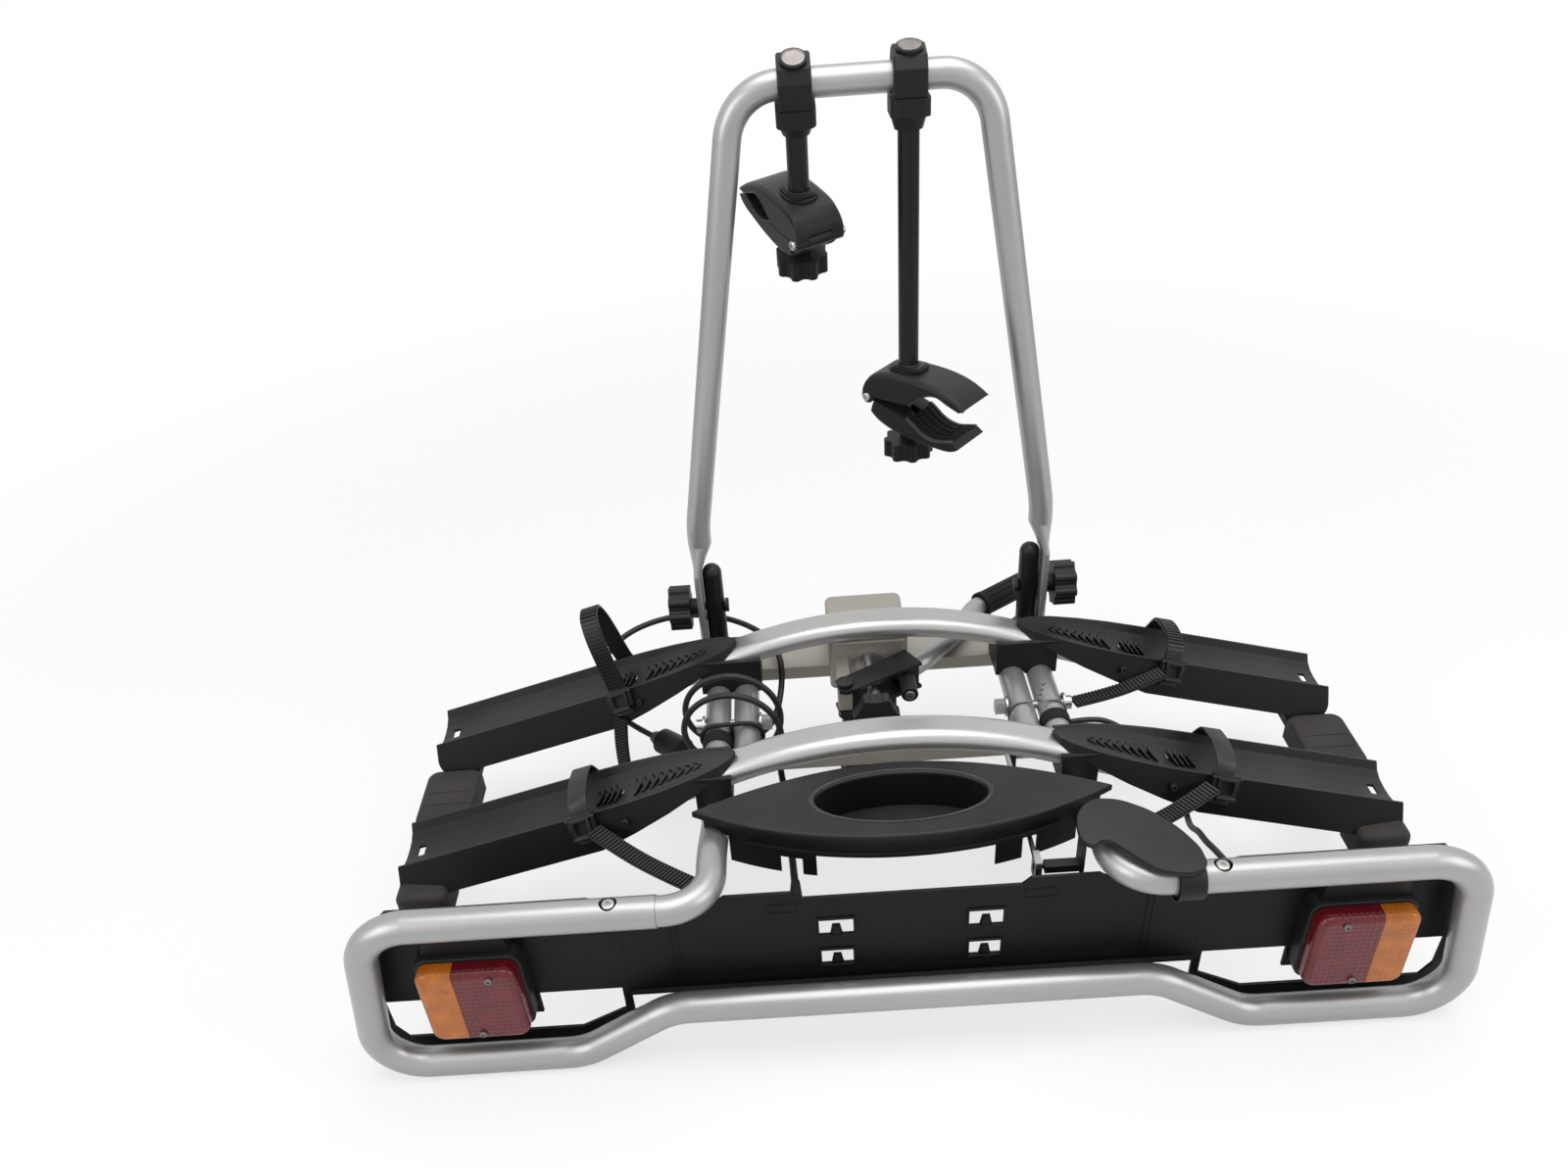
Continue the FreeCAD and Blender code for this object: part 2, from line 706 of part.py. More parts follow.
def claw_jaw():
    jaw = claw_loft(jaw_back[::-1], jaw_cradle[::-1], [(-26, -1)])
    barrel = rod(vec(claw_hinge_x, -claw_w / 4, 0), Y, claw_barrel_r, claw_w / 2)
    web = prism([vec(claw_hinge_x, -claw_w / 4, 5), vec(-22, -claw_w / 4, -1), vec(-22, -claw_w / 4, -14),
                 vec(-28, -claw_w / 4, -14), vec(claw_hinge_x - 6, -claw_w / 4, -3)], vec(0, claw_w / 2, 0))
    ears = block(claw_hinge_x - 20, claw_hinge_x + claw_barrel_r + 1, claw_w / 4, claw_w, -40, 20)
    jaw = jaw.cut(ears).cut(ears.mirror(vec(0, 0, 0), Y)).fuse([barrel, web])
    jaw = jaw.cut(rod(vec(claw_hinge_x, -claw_w, 0), Y, claw_pin_d / 2 + run_gap, 2 * claw_w))
    jaw = jaw.cut(block(-5, 16, -5.2, 5.2, -40, 20))
    return max(jaw.Solids, key=lambda s: s.Volume)


def claw_knob():
    hub_top = min(z for x, z in jaw_back) - 1.2
    hub = rod(vec(0, 0, hub_top - claw_hub_len), Z, 9, claw_hub_len)
    body = lobed_knob(claw_knob_r, 8, claw_knob_len)
    body.translate(vec(0, 0, hub_top - claw_hub_len + 1 - claw_knob_len))
    bore = rod(vec(0, 0, claw_stud_low - free_gap), Z, claw_bolt_d / 2 + run_gap, 60)
    return hub.fuse(body).cut(bore).removeSplitter()


def placed_claw(shape, x, z, turn):
    copy = turned(shape, vec(0, 0, 0), Z, turn)
    copy.translate(vec(x, lyre_y, z))
    return copy


def opened_jaw(shape, degrees):
    return turned(shape, vec(claw_hinge_x, 0, 0), Y, degrees)


def leaned(shape):
    """A piece of the short arm, swung about the top tube of the lyre as in the picture."""
    return turned(shape, vec(0, lyre_y, lyre_top_z), X, short_arm_lean)


# Coupling
def coupling_housing():
    x0 = coupling_x - housing_w / 2
    x1 = coupling_x + housing_w / 2
    y1 = housing_y0 + housing_len
    body = block(x0, x1, housing_y0, y1, housing_low_z, housing_top_z)
    upright = [e for e in body.Edges if abs(e.Vertexes[0].X - e.Vertexes[1].X) < 0.01
               and abs(e.Vertexes[0].Y - e.Vertexes[1].Y) < 0.01]
    body = body.makeFillet(9, upright)
    top = [e for e in body.Edges if abs(e.BoundBox.ZMin - housing_top_z) < 0.01]
    body = body.makeFillet(4, top)
    inner = block(x0 + housing_wall, x1 - housing_wall, housing_y0 + housing_wall, y1 - housing_wall,
                  housing_low_z - 1, housing_top_z - housing_wall)
    body = body.cut(inner)
    beam_room = block(x0 - 1, x1 + 1, rear_beam_y0 - weld_gap, rear_beam_y0 + rear_beam_depth + weld_gap,
                      housing_low_z - 1, beam_low_z + beam_h + weld_gap)
    body = body.cut(beam_room)
    body = body.cut(rod(vec(coupling_x, housing_y0 - 5, rod_z), Y, rod_d / 2 + run_gap * 2, 15))
    tongue = block(lever_pin_x - 7, lever_pin_x + 7, lever_pin_y - 8, housing_y0 + 1, rod_z - 11, rod_z + 11)
    tongue = tongue.fuse(rod(vec(lever_pin_x, lever_pin_y, rod_z - 11), Z, 8, 22))
    pin_hole = rod(vec(lever_pin_x, lever_pin_y, rod_z - 20), Z, lever_pin_r + run_gap, 40)
    return fuse([body, tongue]).cut(pin_hole)


def fixed_jaw():
    x0 = coupling_x - 31
    column = block(x0, x0 + 62, 84, 126, 0, beam_low_z - weld_gap)
    pocket = block(x0 + 8, x0 + 54, 76, 118, 92, 150)
    column = column.cut(pocket)
    foot = block(x0 - 4, x0 + 66, 84, 126, 0, 6)
    ball_room = Part.makeSphere(ball_d / 2 + 0.1, vec(coupling_x, ball_y, ball_z))
    shaft_room = rod(vec(coupling_x, ball_y, -1), Z, ball_d / 2 + 0.1, ball_z + 1)
    return fuse([column, foot]).cut(ball_room).cut(shaft_room)


def moving_jaw():
    y0 = jaw_arm_y
    y1 = jaw_arm_y + jaw_arm_t
    arm = block(coupling_x - 16, coupling_x + 16, y0, y1, 40, rod_z + 12)
    jaw = block(coupling_x - 27, coupling_x + 27, 130, y1, 34, 104)
    ball_room = Part.makeSphere(ball_d / 2 + 0.1, vec(coupling_x, ball_y, ball_z))
    body = fuse([arm, jaw]).cut(ball_room)
    return body.cut(rod(vec(coupling_x, y0 - 5, rod_z), Y, rod_d / 2 + run_gap, 30))


def clamp_rod():
    nut_y = jaw_arm_y + jaw_arm_t + weld_gap
    shaft = rod(vec(coupling_x, -4, rod_z), Y, rod_d / 2, nut_y + rod_nut_t + 4)
    nut = rod(vec(coupling_x, nut_y, rod_z), Y, rod_nut_r, rod_nut_t)
    collar_nut = rod(vec(coupling_x, 10, rod_z), Y, rod_nut_r, 9)
    return fuse([shaft, nut, collar_nut])


def rod_washer():
    ring = rod(vec(coupling_x, housing_y0 - 3.2, rod_z), Y, 16, 3)
    return ring.cut(rod(vec(coupling_x, housing_y0 - 5, rod_z), Y, rod_d / 2 + run_gap * 2, 8))


def adjuster_knob():
    body = lobed_knob(25, 6, 15)
    body.rotate(vec(0, 0, 0), X, -90)
    body.translate(vec(coupling_x, -22, rod_z))
    hub = rod(vec(coupling_x, -8, rod_z), Y, 10, 10)
    return fuse([body, hub]).cut(rod(vec(coupling_x, -4, rod_z), Y, rod_d / 2 + run_gap, 20))


def lever_clevis():
    plan = [vec(-50, 27, 0), vec(-46, 8, 0), vec(-38, 5, 0), vec(47, 50, 0), vec(31, 77, 0)]
    low = prism([p + vec(0, 0, rod_z - clevis_gap - clevis_t) for p in plan], vec(0, 0, clevis_t))
    high = prism([p + vec(0, 0, rod_z + clevis_gap) for p in plan], vec(0, 0, clevis_t))
    end_low = rod_z - clevis_gap - 1
    end_plan = [vec(24, 44, end_low), vec(44, 52, end_low), vec(31, 74, end_low), vec(14, 62, end_low)]
    end = prism(end_plan, vec(0, 0, 2 * (clevis_gap + 1)))
    end = end.cut(rod(vec(lock_x, lock_back_y + weld_gap, rod_z), Y * -1, lock_r + weld_gap, 40))
    body = fuse([low, high, end])
    body = body.cut(rod(vec(lever_pin_x, lever_pin_y, rod_z - 30), Z, lever_pin_r + run_gap, 60))
    return body.cut(swept_disc(lever_points(), lever_bends, lever_tube_r + weld_gap))


def lever_points():
    corner = vec(grip_corner[0], grip_corner[1], rod_z)
    along = (vec(grip_end[0], grip_end[1], rod_z) - corner).normalize()
    return [vec(32, 60, rod_z), vec(52, 77, rod_z), vec(88, 118, rod_z), corner, corner + along * 34]


def lever_tube():
    return bent_tube(lever_points(), lever_bends, lever_tube_r, lever_tube_wall)


def lever_grip():
    corner = vec(grip_corner[0], grip_corner[1], rod_z)
    end = vec(grip_end[0], grip_end[1], rod_z)
    along = (end - corner).normalize()
    start = corner + along * 9
    length = (end - start).Length - grip_r
    grip = rod(start, along, grip_r, length)
    grip = grip.fuse(Part.makeSphere(grip_r, start + along * length))
    return grip.cut(rod(start - along, along, lever_tube_r + weld_gap, 27)).removeSplitter()


def lever_lock():
    return rod(vec(lock_x, lock_back_y, rod_z), Y * -1, lock_r, 34)


def lever_pin():
    shaft = rod(vec(lever_pin_x, lever_pin_y, rod_z - 20), Z, lever_pin_r, 40)
    reach = clevis_gap + clevis_t + weld_gap
    head = rod(vec(lever_pin_x, lever_pin_y, rod_z + reach), Z, 9, 5)
    nut = rod(vec(lever_pin_x, lever_pin_y, rod_z - reach - 6), Z, 8, 6)
    return fuse([shaft, head, nut])


# Board, lamps and cover
def plate_panel():
    step = board_top_z - board_dip
    points = [vec(-board_half, board_y, board_low_z), vec(-board_half, board_y, board_top_z),
              vec(-board_dip_half - board_dip, board_y, board_top_z), vec(-board_dip_half, board_y, step),
              vec(board_dip_half, board_y, step), vec(board_dip_half + board_dip, board_y, board_top_z),
              vec(board_half, board_y, board_top_z), vec(board_half, board_y, board_low_z)]
    body = prism(points, vec(0, board_t, 0))
    lip = block(-board_half, board_half, board_y - 4, board_y + board_t, board_low_z, board_low_z + board_t)
    body = fuse([body, lip])
    for side in (-1, 1):
        window = block(53, 85, board_y - 20, board_y + 5, 134, 155)
        clip = block(54, 84, board_y - 20, board_y + 5, 94, 114)
        for cut in (window, clip):
            body = body.cut(cut if side > 0 else mirror_x(cut))
    room = side_tube_envelope(board_notch)
    return body.cut(room).cut(mirror_x(room))


def lamp_wing():
    """Thin plate behind the light bar loop, open below and beside the lamp."""
    x0 = board_half + weld_gap
    outer = [(x0, board_top_z), (x0 + 24, bar_top_z - 4), (bar_top_half - 18, bar_top_z - 4),
             (bar_top_half, bar_top_z - 22), (bar_low_half - 4, bar_d + 20), (bar_low_half - 12, 20),
             (bar_low_half - 26, 8), (bar_ramp_outer, 8), (x0, bar_d + 12)]
    inner = [(x0 + 8, board_low_z + 7), (x0 + 8, bar_d + 18), (bar_ramp_outer + 4, 24),
             (bar_low_half - 26, 24), (bar_low_half - 16, bar_d + 10), (bar_low_half - 15, board_low_z + 7),
             (lamp_x0 + lamp_w + 6, board_low_z + 7), (lamp_x0 + lamp_w + 6, lamp_z0 - 6),
             (lamp_x0 - 6, lamp_z0 - 6), (lamp_x0 - 6, board_low_z + 7)]
    plate = prism([vec(x, board_y, z) for x, z in outer], vec(0, board_t, 0))
    return plate.cut(prism([vec(x, board_y - 1, z) for x, z in inner], vec(0, board_t + 2, 0)))


def soft_block(solid, corner, front_y, front):
    """Round the four long corners of a lamp block, then the rim of its front face."""
    long_edges = [e for e in solid.Edges if e.BoundBox.XLength < 0.01 and e.BoundBox.ZLength < 0.01]
    solid = solid.makeFillet(corner, long_edges)
    rim = [e for e in solid.Edges if abs(e.BoundBox.YMax - front_y) < 0.01]
    return solid.makeFillet(front, rim)


def lamp_housing():
    front = lamp_case_y
    back = board_y - weld_gap
    high = lamp_z0 + lamp_h
    x1 = lamp_x0 + lamp_w
    case = block(lamp_x0 - case_rim, x1 + case_rim, front, back, lamp_z0 - case_rim, high + case_rim)
    case = soft_block(case, lamp_corner + 2, front, 2)
    crest = bar_top_z - 28
    points = [(lamp_x0 + 4, high - 10), (lamp_x0 + 10, crest), (x1 - 10, crest), (x1 - 4, high - 10)]
    upper = prism([vec(x, front + 6, z) for x, z in points], vec(0, back - front - 6, 0))
    return fuse([case, upper])


def lens(x0, x1):
    """One colour of the lamp lens, cut out of the whole rounded lens."""
    front = lamp_case_y - weld_gap
    whole = block(lamp_x0, lamp_x0 + lamp_w, front - lens_depth, front, lamp_z0, lamp_z0 + lamp_h)
    whole = soft_block(whole, lamp_corner, front - lens_depth, 7)
    return whole.common(block(x0, x1, front - lens_depth - 1, front + 1, lamp_z0 - 1, lamp_z0 + lamp_h + 1))


def cover_outline(scale):
    cy = cover_tip_y
    left, right = (-cover_half, cover_tip_y), (cover_half, cover_tip_y)
    top = [left, (-121, -152), (0, cover_back_y), (121, -152), right]
    low = [right, (100, -224), (0, cover_front_y), (-100, -224), left]

    def curve(points):
        moved = [vec(x * scale, cy + (y - cy) * scale, 0) for x, y in points]
        spline = Part.BSplineCurve()
        spline.interpolate(moved)
        return spline.toShape()

    return Part.Wire([curve(top), curve(low)])


def cover_slab(scale, z0, z1):
    slab = Part.Face(cover_outline(scale)).extrude(vec(0, 0, z1 - z0))
    slab.translate(vec(0, 0, z0))
    return slab


def pocket_prism(inset, z0, z1):
    ellipse = Part.Ellipse(vec(0, pocket_y, z0), pocket_a - inset, pocket_b - inset).toShape()
    return Part.Face(Part.Wire(ellipse)).extrude(vec(0, 0, z1 - z0))


def centre_cover():
    """Lens-shaped cover plate with a soft pocket rim, its skirt, front lip and side curtains."""
    plate_z = cover_top_z - cover_plate_t
    lip_z = plate_z - cover_recess
    plate = cover_slab(1.0, plate_z, cover_top_z).cut(pocket_prism(cover_t, plate_z - 1, cover_top_z + 1))
    rims = [e for e in plate.Edges if abs(e.BoundBox.ZMin - cover_top_z) < 0.01]
    plate = plate.makeFillet(3.0, rims)
    skirt = cover_slab(0.95, lip_z, plate_z).cut(cover_slab(0.91, lip_z - 1, plate_z + 1))
    lip = cover_slab(0.99, lip_z - 4, lip_z).cut(cover_slab(0.91, lip_z - 5, lip_z + 1))
    lip = lip.common(block(-147, 147, cover_front_y - 5, -190, lip_z - 5, lip_z + 1))
    curtain = cover_slab(0.95, curtain_low_z, lip_z).cut(cover_slab(0.91, curtain_low_z - 1, lip_z + 1))
    shell = plate.fuse([skirt, lip])
    for side in (-1, 1):
        keep = block(83, 164, cover_front_y - 5, -192, curtain_low_z - 1, lip_z + 1)
        shell = shell.fuse(curtain.common(keep if side > 0 else mirror_x(keep)))
    for side in (-1, 1):
        room = side_tube_envelope(free_gap)
        shell = shell.cut(room if side > 0 else mirror_x(room))
    shell = shell.cut(block(latch_x - 7, latch_x + 7, cover_front_y - 5, -190, curtain_low_z - 1, lip_z - 4))
    lead_room = block(lead_points()[0].x - 12, lead_points()[0].x + 8, cover_front_y - 5, -190,
                      curtain_low_z - 1, lip_z - 12)
    return max(shell.cut(lead_room).Solids, key=lambda s: s.Volume)


def cover_tub():
    """Pocket under the plate of the cover."""
    high = cover_top_z - cover_plate_t - weld_gap
    low = cover_top_z - pocket_depth
    return pocket_prism(0, low, high).cut(pocket_prism(cover_t, low + cover_t, high + 1))


# Foot pedal and latch
pedal_x0 = bar_seam_x + free_gap
pedal_len = 12.0
pedal_rise = 5.0
latch_x = 116.0
latch_rod_z = 190.0
latch_rod_front_y = -250.0
hook_pivot_y = -80.0
hook_reach = 15.0


def tilt_pedal():
    sleeve = rod(vec(pedal_x0, bar_y, bar_top_z), X, bar_d / 2 + 4, pedal_len)
    top_z = bar_top_z + bar_d / 2 + 4
    band = prism([vec(153, -239, top_z), vec(167, -219, top_z), vec(183, -217, top_z), vec(206, -232, top_z),
                  vec(216, -250, top_z), vec(226, -270, top_z), vec(pedal_x0 + pedal_len, -283, top_z),
                  vec(pedal_x0 + pedal_len, -299, top_z), vec(212, -299, top_z), vec(196, -284, top_z),
                  vec(186, -272, top_z), vec(170, -260, top_z), vec(157, -264, top_z)], vec(0, 0, 5))
    band = turned(band, vec(0, bar_y, bar_top_z), X, pedal_rise)
    bridge = block(pedal_x0, pedal_x0 + pedal_len, bar_y - 8, bar_y + 8, bar_top_z + bar_d / 2, top_z + 5)
    drop = block(153, 157, -258, -242, latch_rod_z - 6, top_z + 5)
    reach = block(latch_x + 6, 157, -256, -246, latch_rod_z - 6, latch_rod_z + 2)
    pin = rod(vec(latch_x - 4, latch_rod_front_y, latch_rod_z - 2), X, 2.5, 12)
    body = sleeve.fuse([band, bridge, drop, reach, pin])
    body = body.cut(rod(vec(pedal_x0 - 5, bar_y, bar_top_z), X, bar_d / 2 + run_gap * 2, pedal_len + 10))
    return body.removeSplitter()


def latch_rod():
    front = block(latch_x - 3, latch_x + 3, latch_rod_front_y - 8, latch_rod_front_y + 9,
                  latch_rod_z - 16, latch_rod_z + 9)
    slot = block(latch_x - 5, latch_x + 5, latch_rod_front_y - 3.2, latch_rod_front_y + 3.2,
                 latch_rod_z - 12, latch_rod_z + 3)
    shaft_len = hook_pivot_y - latch_rod_front_y - 1
    shaft = rod(vec(latch_x, latch_rod_front_y + 6, latch_rod_z), Y, 2.4, shaft_len)
    cross = rod(vec(latch_x, hook_pivot_y, latch_rod_z), X, 2.0, 13)
    return front.cut(slot).fuse(shaft).fuse(cross)


def latch_hook():
    x0 = latch_x + 4
    pz = latch_rod_z - hook_reach
    plate = prism([vec(x0, hook_pivot_y - 8, pz - 8), vec(x0, hook_pivot_y - 7, pz + 22),
                   vec(x0, hook_pivot_y + 6, pz + 22), vec(x0, hook_pivot_y + 8, pz + 8),
                   vec(x0, hook_pivot_y + 14, pz + 6), vec(x0, hook_pivot_y + 14, pz - 2),
                   vec(x0, hook_pivot_y + 8, pz - 8)], vec(7, 0, 0))
    plate = plate.cut(rod(vec(x0 - 2, hook_pivot_y, latch_rod_z), X, 3.6, 12))
    return plate.cut(rod(vec(x0 - 2, hook_pivot_y, pz), X, 3 + run_gap, 12))


def hook_pin():
    pz = latch_rod_z - hook_reach
    return rod(vec(latch_x + 2, hook_pivot_y, pz), X, 3, side_x - side_d / 2 - weld_gap - latch_x - 2)


# Straps
def strap_frame(points, side, x, y, width):
    """Closed band profile in the cross plane of a tray, extruded along the tray."""
    slope = math.radians(tray_slope)
    along = vec(side * math.cos(slope), 0, -math.sin(slope))
    up = vec(side * math.sin(slope), 0, math.cos(slope))
    rim_z = tray_tip_z - (x - tray_tip_x) * math.tan(slope)
    base = vec(side * x, y, rim_z)
    placed = [base + vec(0, p[0], 0) + up * p[1] - along * (width / 2) for p in points]
    return prism(placed, along * width)


def band_profile(line, thick):
    """Outline of a band of even thickness along an open line of points."""
    upper = []
    lower = []
    for k, p in enumerate(line):
        a = line[max(k - 1, 0)]
        b = line[min(k + 1, len(line) - 1)]
        dx, dy = b[0] - a[0], b[1] - a[1]
        n = math.hypot(dx, dy)
        upper.append((p[0] - dy / n * thick / 2, p[1] + dx / n * thick / 2))
        lower.append((p[0] + dy / n * thick / 2, p[1] - dx / n * thick / 2))
    return upper + lower[::-1]


strap_w = 20.0
strap_t = 3.0
seat_gap = 0.3
buckle_t = 6.0
buckle_low = -14.0
buckle_high = 5.0
lever_barrel_r = 2.5


def off_skirt(height, distance):
    """Place across the tray at this height over the rim, so far outside the skirt face."""
    lean = tray_flare / tray_skirt
    return tray_half_w - height * lean + distance * math.sqrt(1 + lean * lean)


def wheel_strap(side, x, y, height):
    mid = seat_gap + strap_t / 2
    low = (off_skirt(-24, mid), -24.0)
    top = (off_skirt(6, mid), 6.0)
    half = [low, top, (26, height * 0.62 + 4), (15, height * 0.92 + 1), (0, height + 1)]
    line = [(-a, b) for a, b in half] + half[:-1][::-1]
    return strap_frame(band_profile(line, strap_t), side, x, y, strap_w)


def skirt_plate(side, x, y, width, near, thick, low, high):
    points = [(-off_skirt(low, near), low), (-off_skirt(low, near + thick), low),
              (-off_skirt(high, near + thick), high), (-off_skirt(high, near), high)]
    return strap_frame(points, side, x, y, width)


def strap_buckle(side, x, y):
    return skirt_plate(side, x, y, strap_w + 8, 2 * seat_gap + strap_t, buckle_t, buckle_low, buckle_high)


def buckle_lever(side, x, y):
    """Quick-release lever of a strap buckle, with its hinge barrel along the tray."""
    near = 2 * seat_gap + strap_t + buckle_t + free_gap
    plate = skirt_plate(side, x, y, strap_w, near, 3.0, buckle_low, buckle_high + 3)
    slope = math.radians(tray_slope)
    along = vec(side * math.cos(slope), 0, -math.sin(slope))
    up = vec(side * math.sin(slope), 0, math.cos(slope))
    rim_z = tray_tip_z - (x - tray_tip_x) * math.tan(slope)
    centre = vec(side * x, y - off_skirt(buckle_low, near + lever_barrel_r), rim_z) + up * buckle_low
    barrel = rod(centre - along * (strap_w / 2), along, lever_barrel_r, strap_w)
    return plate.fuse(barrel)


# Leads
def route_bends(points):
    """Bend radius at each inner point, from the shorter of its two runs."""
    bends = []
    for a, b, c in zip(points, points[1:], points[2:]):
        run_in = b - a
        run_out = c - b
        turn = run_in.getAngle(run_out)
        bends.append(0.45 * min(run_in.Length, run_out.Length) / math.tan(turn / 2))
    return bends


def cord(points, radius, name):
    bends = route_bends(points)
    path = bent_path(points, bends)
    face = Part.Face(Part.Wire(Part.makeCircle(radius, points[0], points[1] - points[0])))
    solid = path.makePipe(face)
    print(name, "least bend radius", round(min(bends), 1), "length", round(path.Length, 1),
          "volume share", round(solid.Volume / (math.pi * radius ** 2 * path.Length), 4))
    return solid


lead_r = 3.5
coil_r = 54.0
coil_x = -(side_x + arm_x) / 2
coil_step = 30
coil_pitch = 34.0
coil_y0 = -24.0
plug_r = 15.0
plug_len = 52.0


def coil_point(k):
    a = math.radians(120 - coil_step * k)
    y = coil_y0 + k * coil_pitch * coil_step / 360
    return vec(coil_x + coil_r * math.sin(a), y, side_z + coil_r * math.cos(a))


def lead_points():
    """Seven-core lead: out from under the cover, twice round the left tubes, back to its plug."""
    before = [vec(-104, -248, 176), vec(-106, -196, 168), vec(-108, -146, 160), vec(-110, -106, 138),
              vec(-110, -66, 122)]
    coil = [coil_point(k) for k in range(25)]
    after = [vec(-106, 86, 176), vec(-112, 126, 190), vec(-142, 170, 192), vec(-196, 197, 195),
             vec(-252, 192, 195), vec(-300, 170, 186), vec(-330, 150, 152), vec(-322, 132, 116),
             vec(-290, 106, 102), vec(-262, 78, 106)]
    return before + coil + after


def least_self_gap(points, radius, apart):
    """Least gap between stretches of the tube that are at least this far apart along it."""
    path = bent_path(points, route_bends(points))
    steps = int(path.Length / 4.0)
    samples = path.discretize(steps)
    pitch = path.Length / (steps - 1)
    skip = int(apart / pitch)
    least = min((a - b).Length for i, a in enumerate(samples) for b in samples[i + skip:])
    return least - 2 * radius


def plug():
    points = lead_points()
    along = (points[-1] - points[-2]).normalize()
    start = points[-1] + along * weld_gap
    neck = Part.makeCone(lead_r + 3, plug_r - 3, 16, start, along)
    body = rod(start + along * 16, along, plug_r, plug_len - 16)
    return neck.fuse(body).removeSplitter()


def lay_out():
    """Every node of the carrier by name, still on the platform axes."""
    both = lambda shape: Part.makeCompound([shape, mirror_x(shape)])
    nodes = {}
    nodes["coupling_housing"] = coupling_housing()
    nodes["cross_beams"] = Part.makeCompound([cross_beam(rear_beam_y0, rear_beam_depth),
                                              cross_beam(front_beam_y0, front_beam_depth)])
    nodes["fixed_arms"] = both(fixed_arm())
    nodes["fixed_jaw"] = fixed_jaw()
    nodes["tilt_bolts"] = both(tilt_bolt())
    nodes["rod_washer"] = rod_washer()
    nodes["moving_jaw"] = moving_jaw()
    nodes["clamp_rod"] = clamp_rod()
    nodes["adjuster_knob"] = adjuster_knob()
    nodes["lever_clevis"] = lever_clevis()
    nodes["lever_tube"] = lever_tube()
    nodes["lever_grip"] = lever_grip()
    nodes["lever_lock"] = lever_lock()
    nodes["lever_pin"] = lever_pin()
    nodes["side_tubes"] = both(side_tube())
    nodes["tube_collars"] = both(collar())
    nodes["light_bar_tube"] = light_bar()
    nodes["front_rail"] = rail(rail_front_y)
    nodes["rear_rail"] = rail(rail_rear_y)
    nodes["rail_saddles"] = Part.makeCompound([
        saddle(rail_front_y, False), mirror_x(saddle(rail_front_y, False)),
        saddle(rail_rear_y, True), mirror_x(saddle(rail_rear_y, True))])
    nodes["tray_front_left"] = tray(-1, rail_front_y)
    nodes["tray_front_right"] = tray(1, rail_front_y)
    nodes["tray_rear_left"] = tray(-1, rail_rear_y)
    nodes["tray_rear_right"] = tray(1, rail_rear_y)
    nodes["tray_links"] = both(tray_link())
    nodes["plate_panel"] = plate_panel()
    nodes["lamp_wings"] = both(lamp_wing())
    nodes["lamp_housings"] = both(lamp_housing())
    split = lamp_x0 + lamp_w * 0.62
    nodes["lens_red"] = both(lens(lamp_x0, split - 0.2))
    nodes["lens_amber"] = both(lens(split + 0.2, lamp_x0 + lamp_w))
    nodes["centre_cover"] = centre_cover()
    nodes["cover_tub"] = cover_tub()
    nodes["lyre_posts"] = both(post())
    nodes["tilt_pedal"] = tilt_pedal()
    nodes["latch_rod"] = latch_rod()
    nodes["latch_hook"] = latch_hook()
    nodes["hook_pin"] = hook_pin()
    nodes["lyre_frame"] = lyre_frame()
    nodes["lyre_knob_right"] = lyre_knob()
    nodes["lyre_knob_left"] = mirror_x(lyre_knob())
    nodes["short_arm_head"] = leaned(arm_head(short_arm_x))
    nodes["short_arm_tube"] = leaned(arm_tube(short_arm_x, short_claw_z))
    for name, piece in (("short_claw", claw_body()), ("short_claw_jaw", claw_jaw()),
                        ("short_claw_knob", claw_knob())):
        nodes[name] = leaned(placed_claw(piece, short_arm_x, short_claw_z, short_claw_turn))
    nodes["long_arm_head"] = arm_head(long_arm_x)
    nodes["long_arm_tube"] = arm_tube(long_arm_x, long_claw_z)
    nodes["long_claw"] = placed_claw(claw_body(), long_arm_x, long_claw_z, long_claw_turn)
    open_jaw = opened_jaw(claw_jaw(), long_jaw_open)
    nodes["long_claw_jaw"] = placed_claw(open_jaw, long_arm_x, long_claw_z, long_claw_turn)
    low_knob = claw_knob()
    low_knob.translate(vec(0, 0, -claw_knob_drop))
    nodes["long_claw_knob"] = placed_claw(low_knob, long_arm_x, long_claw_z, long_claw_turn)
    straps = [(-1, 310, rail_front_y, 16), (1, 318, rail_front_y, 16),
              (-1, 288, rail_rear_y, 88), (1, 322, rail_rear_y, 20)]
    nodes["wheel_straps"] = Part.makeCompound([wheel_strap(*s) for s in straps])
    nodes["strap_buckles"] = Part.makeCompound([strap_buckle(*s[:3]) for s in straps])
    for name, s in zip(("front_left", "front_right", "rear_left", "rear_right"), straps):
        nodes["buckle_" + name] = buckle_lever(*s[:3])
    nodes["trailer_lead"] = cord(lead_points(), lead_r, "trailer_lead")
    print("trailer_lead least gap to itself", round(least_self_gap(lead_points(), lead_r, 60.0), 2))
    nodes["lead_plug"] = plug()
    return nodes


def main():
    os.makedirs("parts", exist_ok=True)
    total = 0.0
    for name, shape in lay_out().items():
        shape.translate(vec(-coupling_x, -ball_y, -ball_z))
        box = shape.BoundBox
        total += shape.Volume
        print(name, "valid", shape.isValid(), "solids", len(shape.Solids), "cm3",
              round(shape.Volume / 1000, 1))
        shape.exportStep("parts/" + name + ".step")
    print("volume cm3", round(total / 1000))


main()
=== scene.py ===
# %% [markdown]
# # A towball bicycle carrier, dressed for its picture
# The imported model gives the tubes, rails, trays and every moving joint in their true places.
# This lesson loads it as a fixed frame, gives each surface a finish made only from nodes,
# and then models the small things that the eye looks for: screws, ribs, straps, lenses and cable.

# %% Load the frame
import bpy
import bmesh
import json
import math
from mathutils import Matrix, Vector


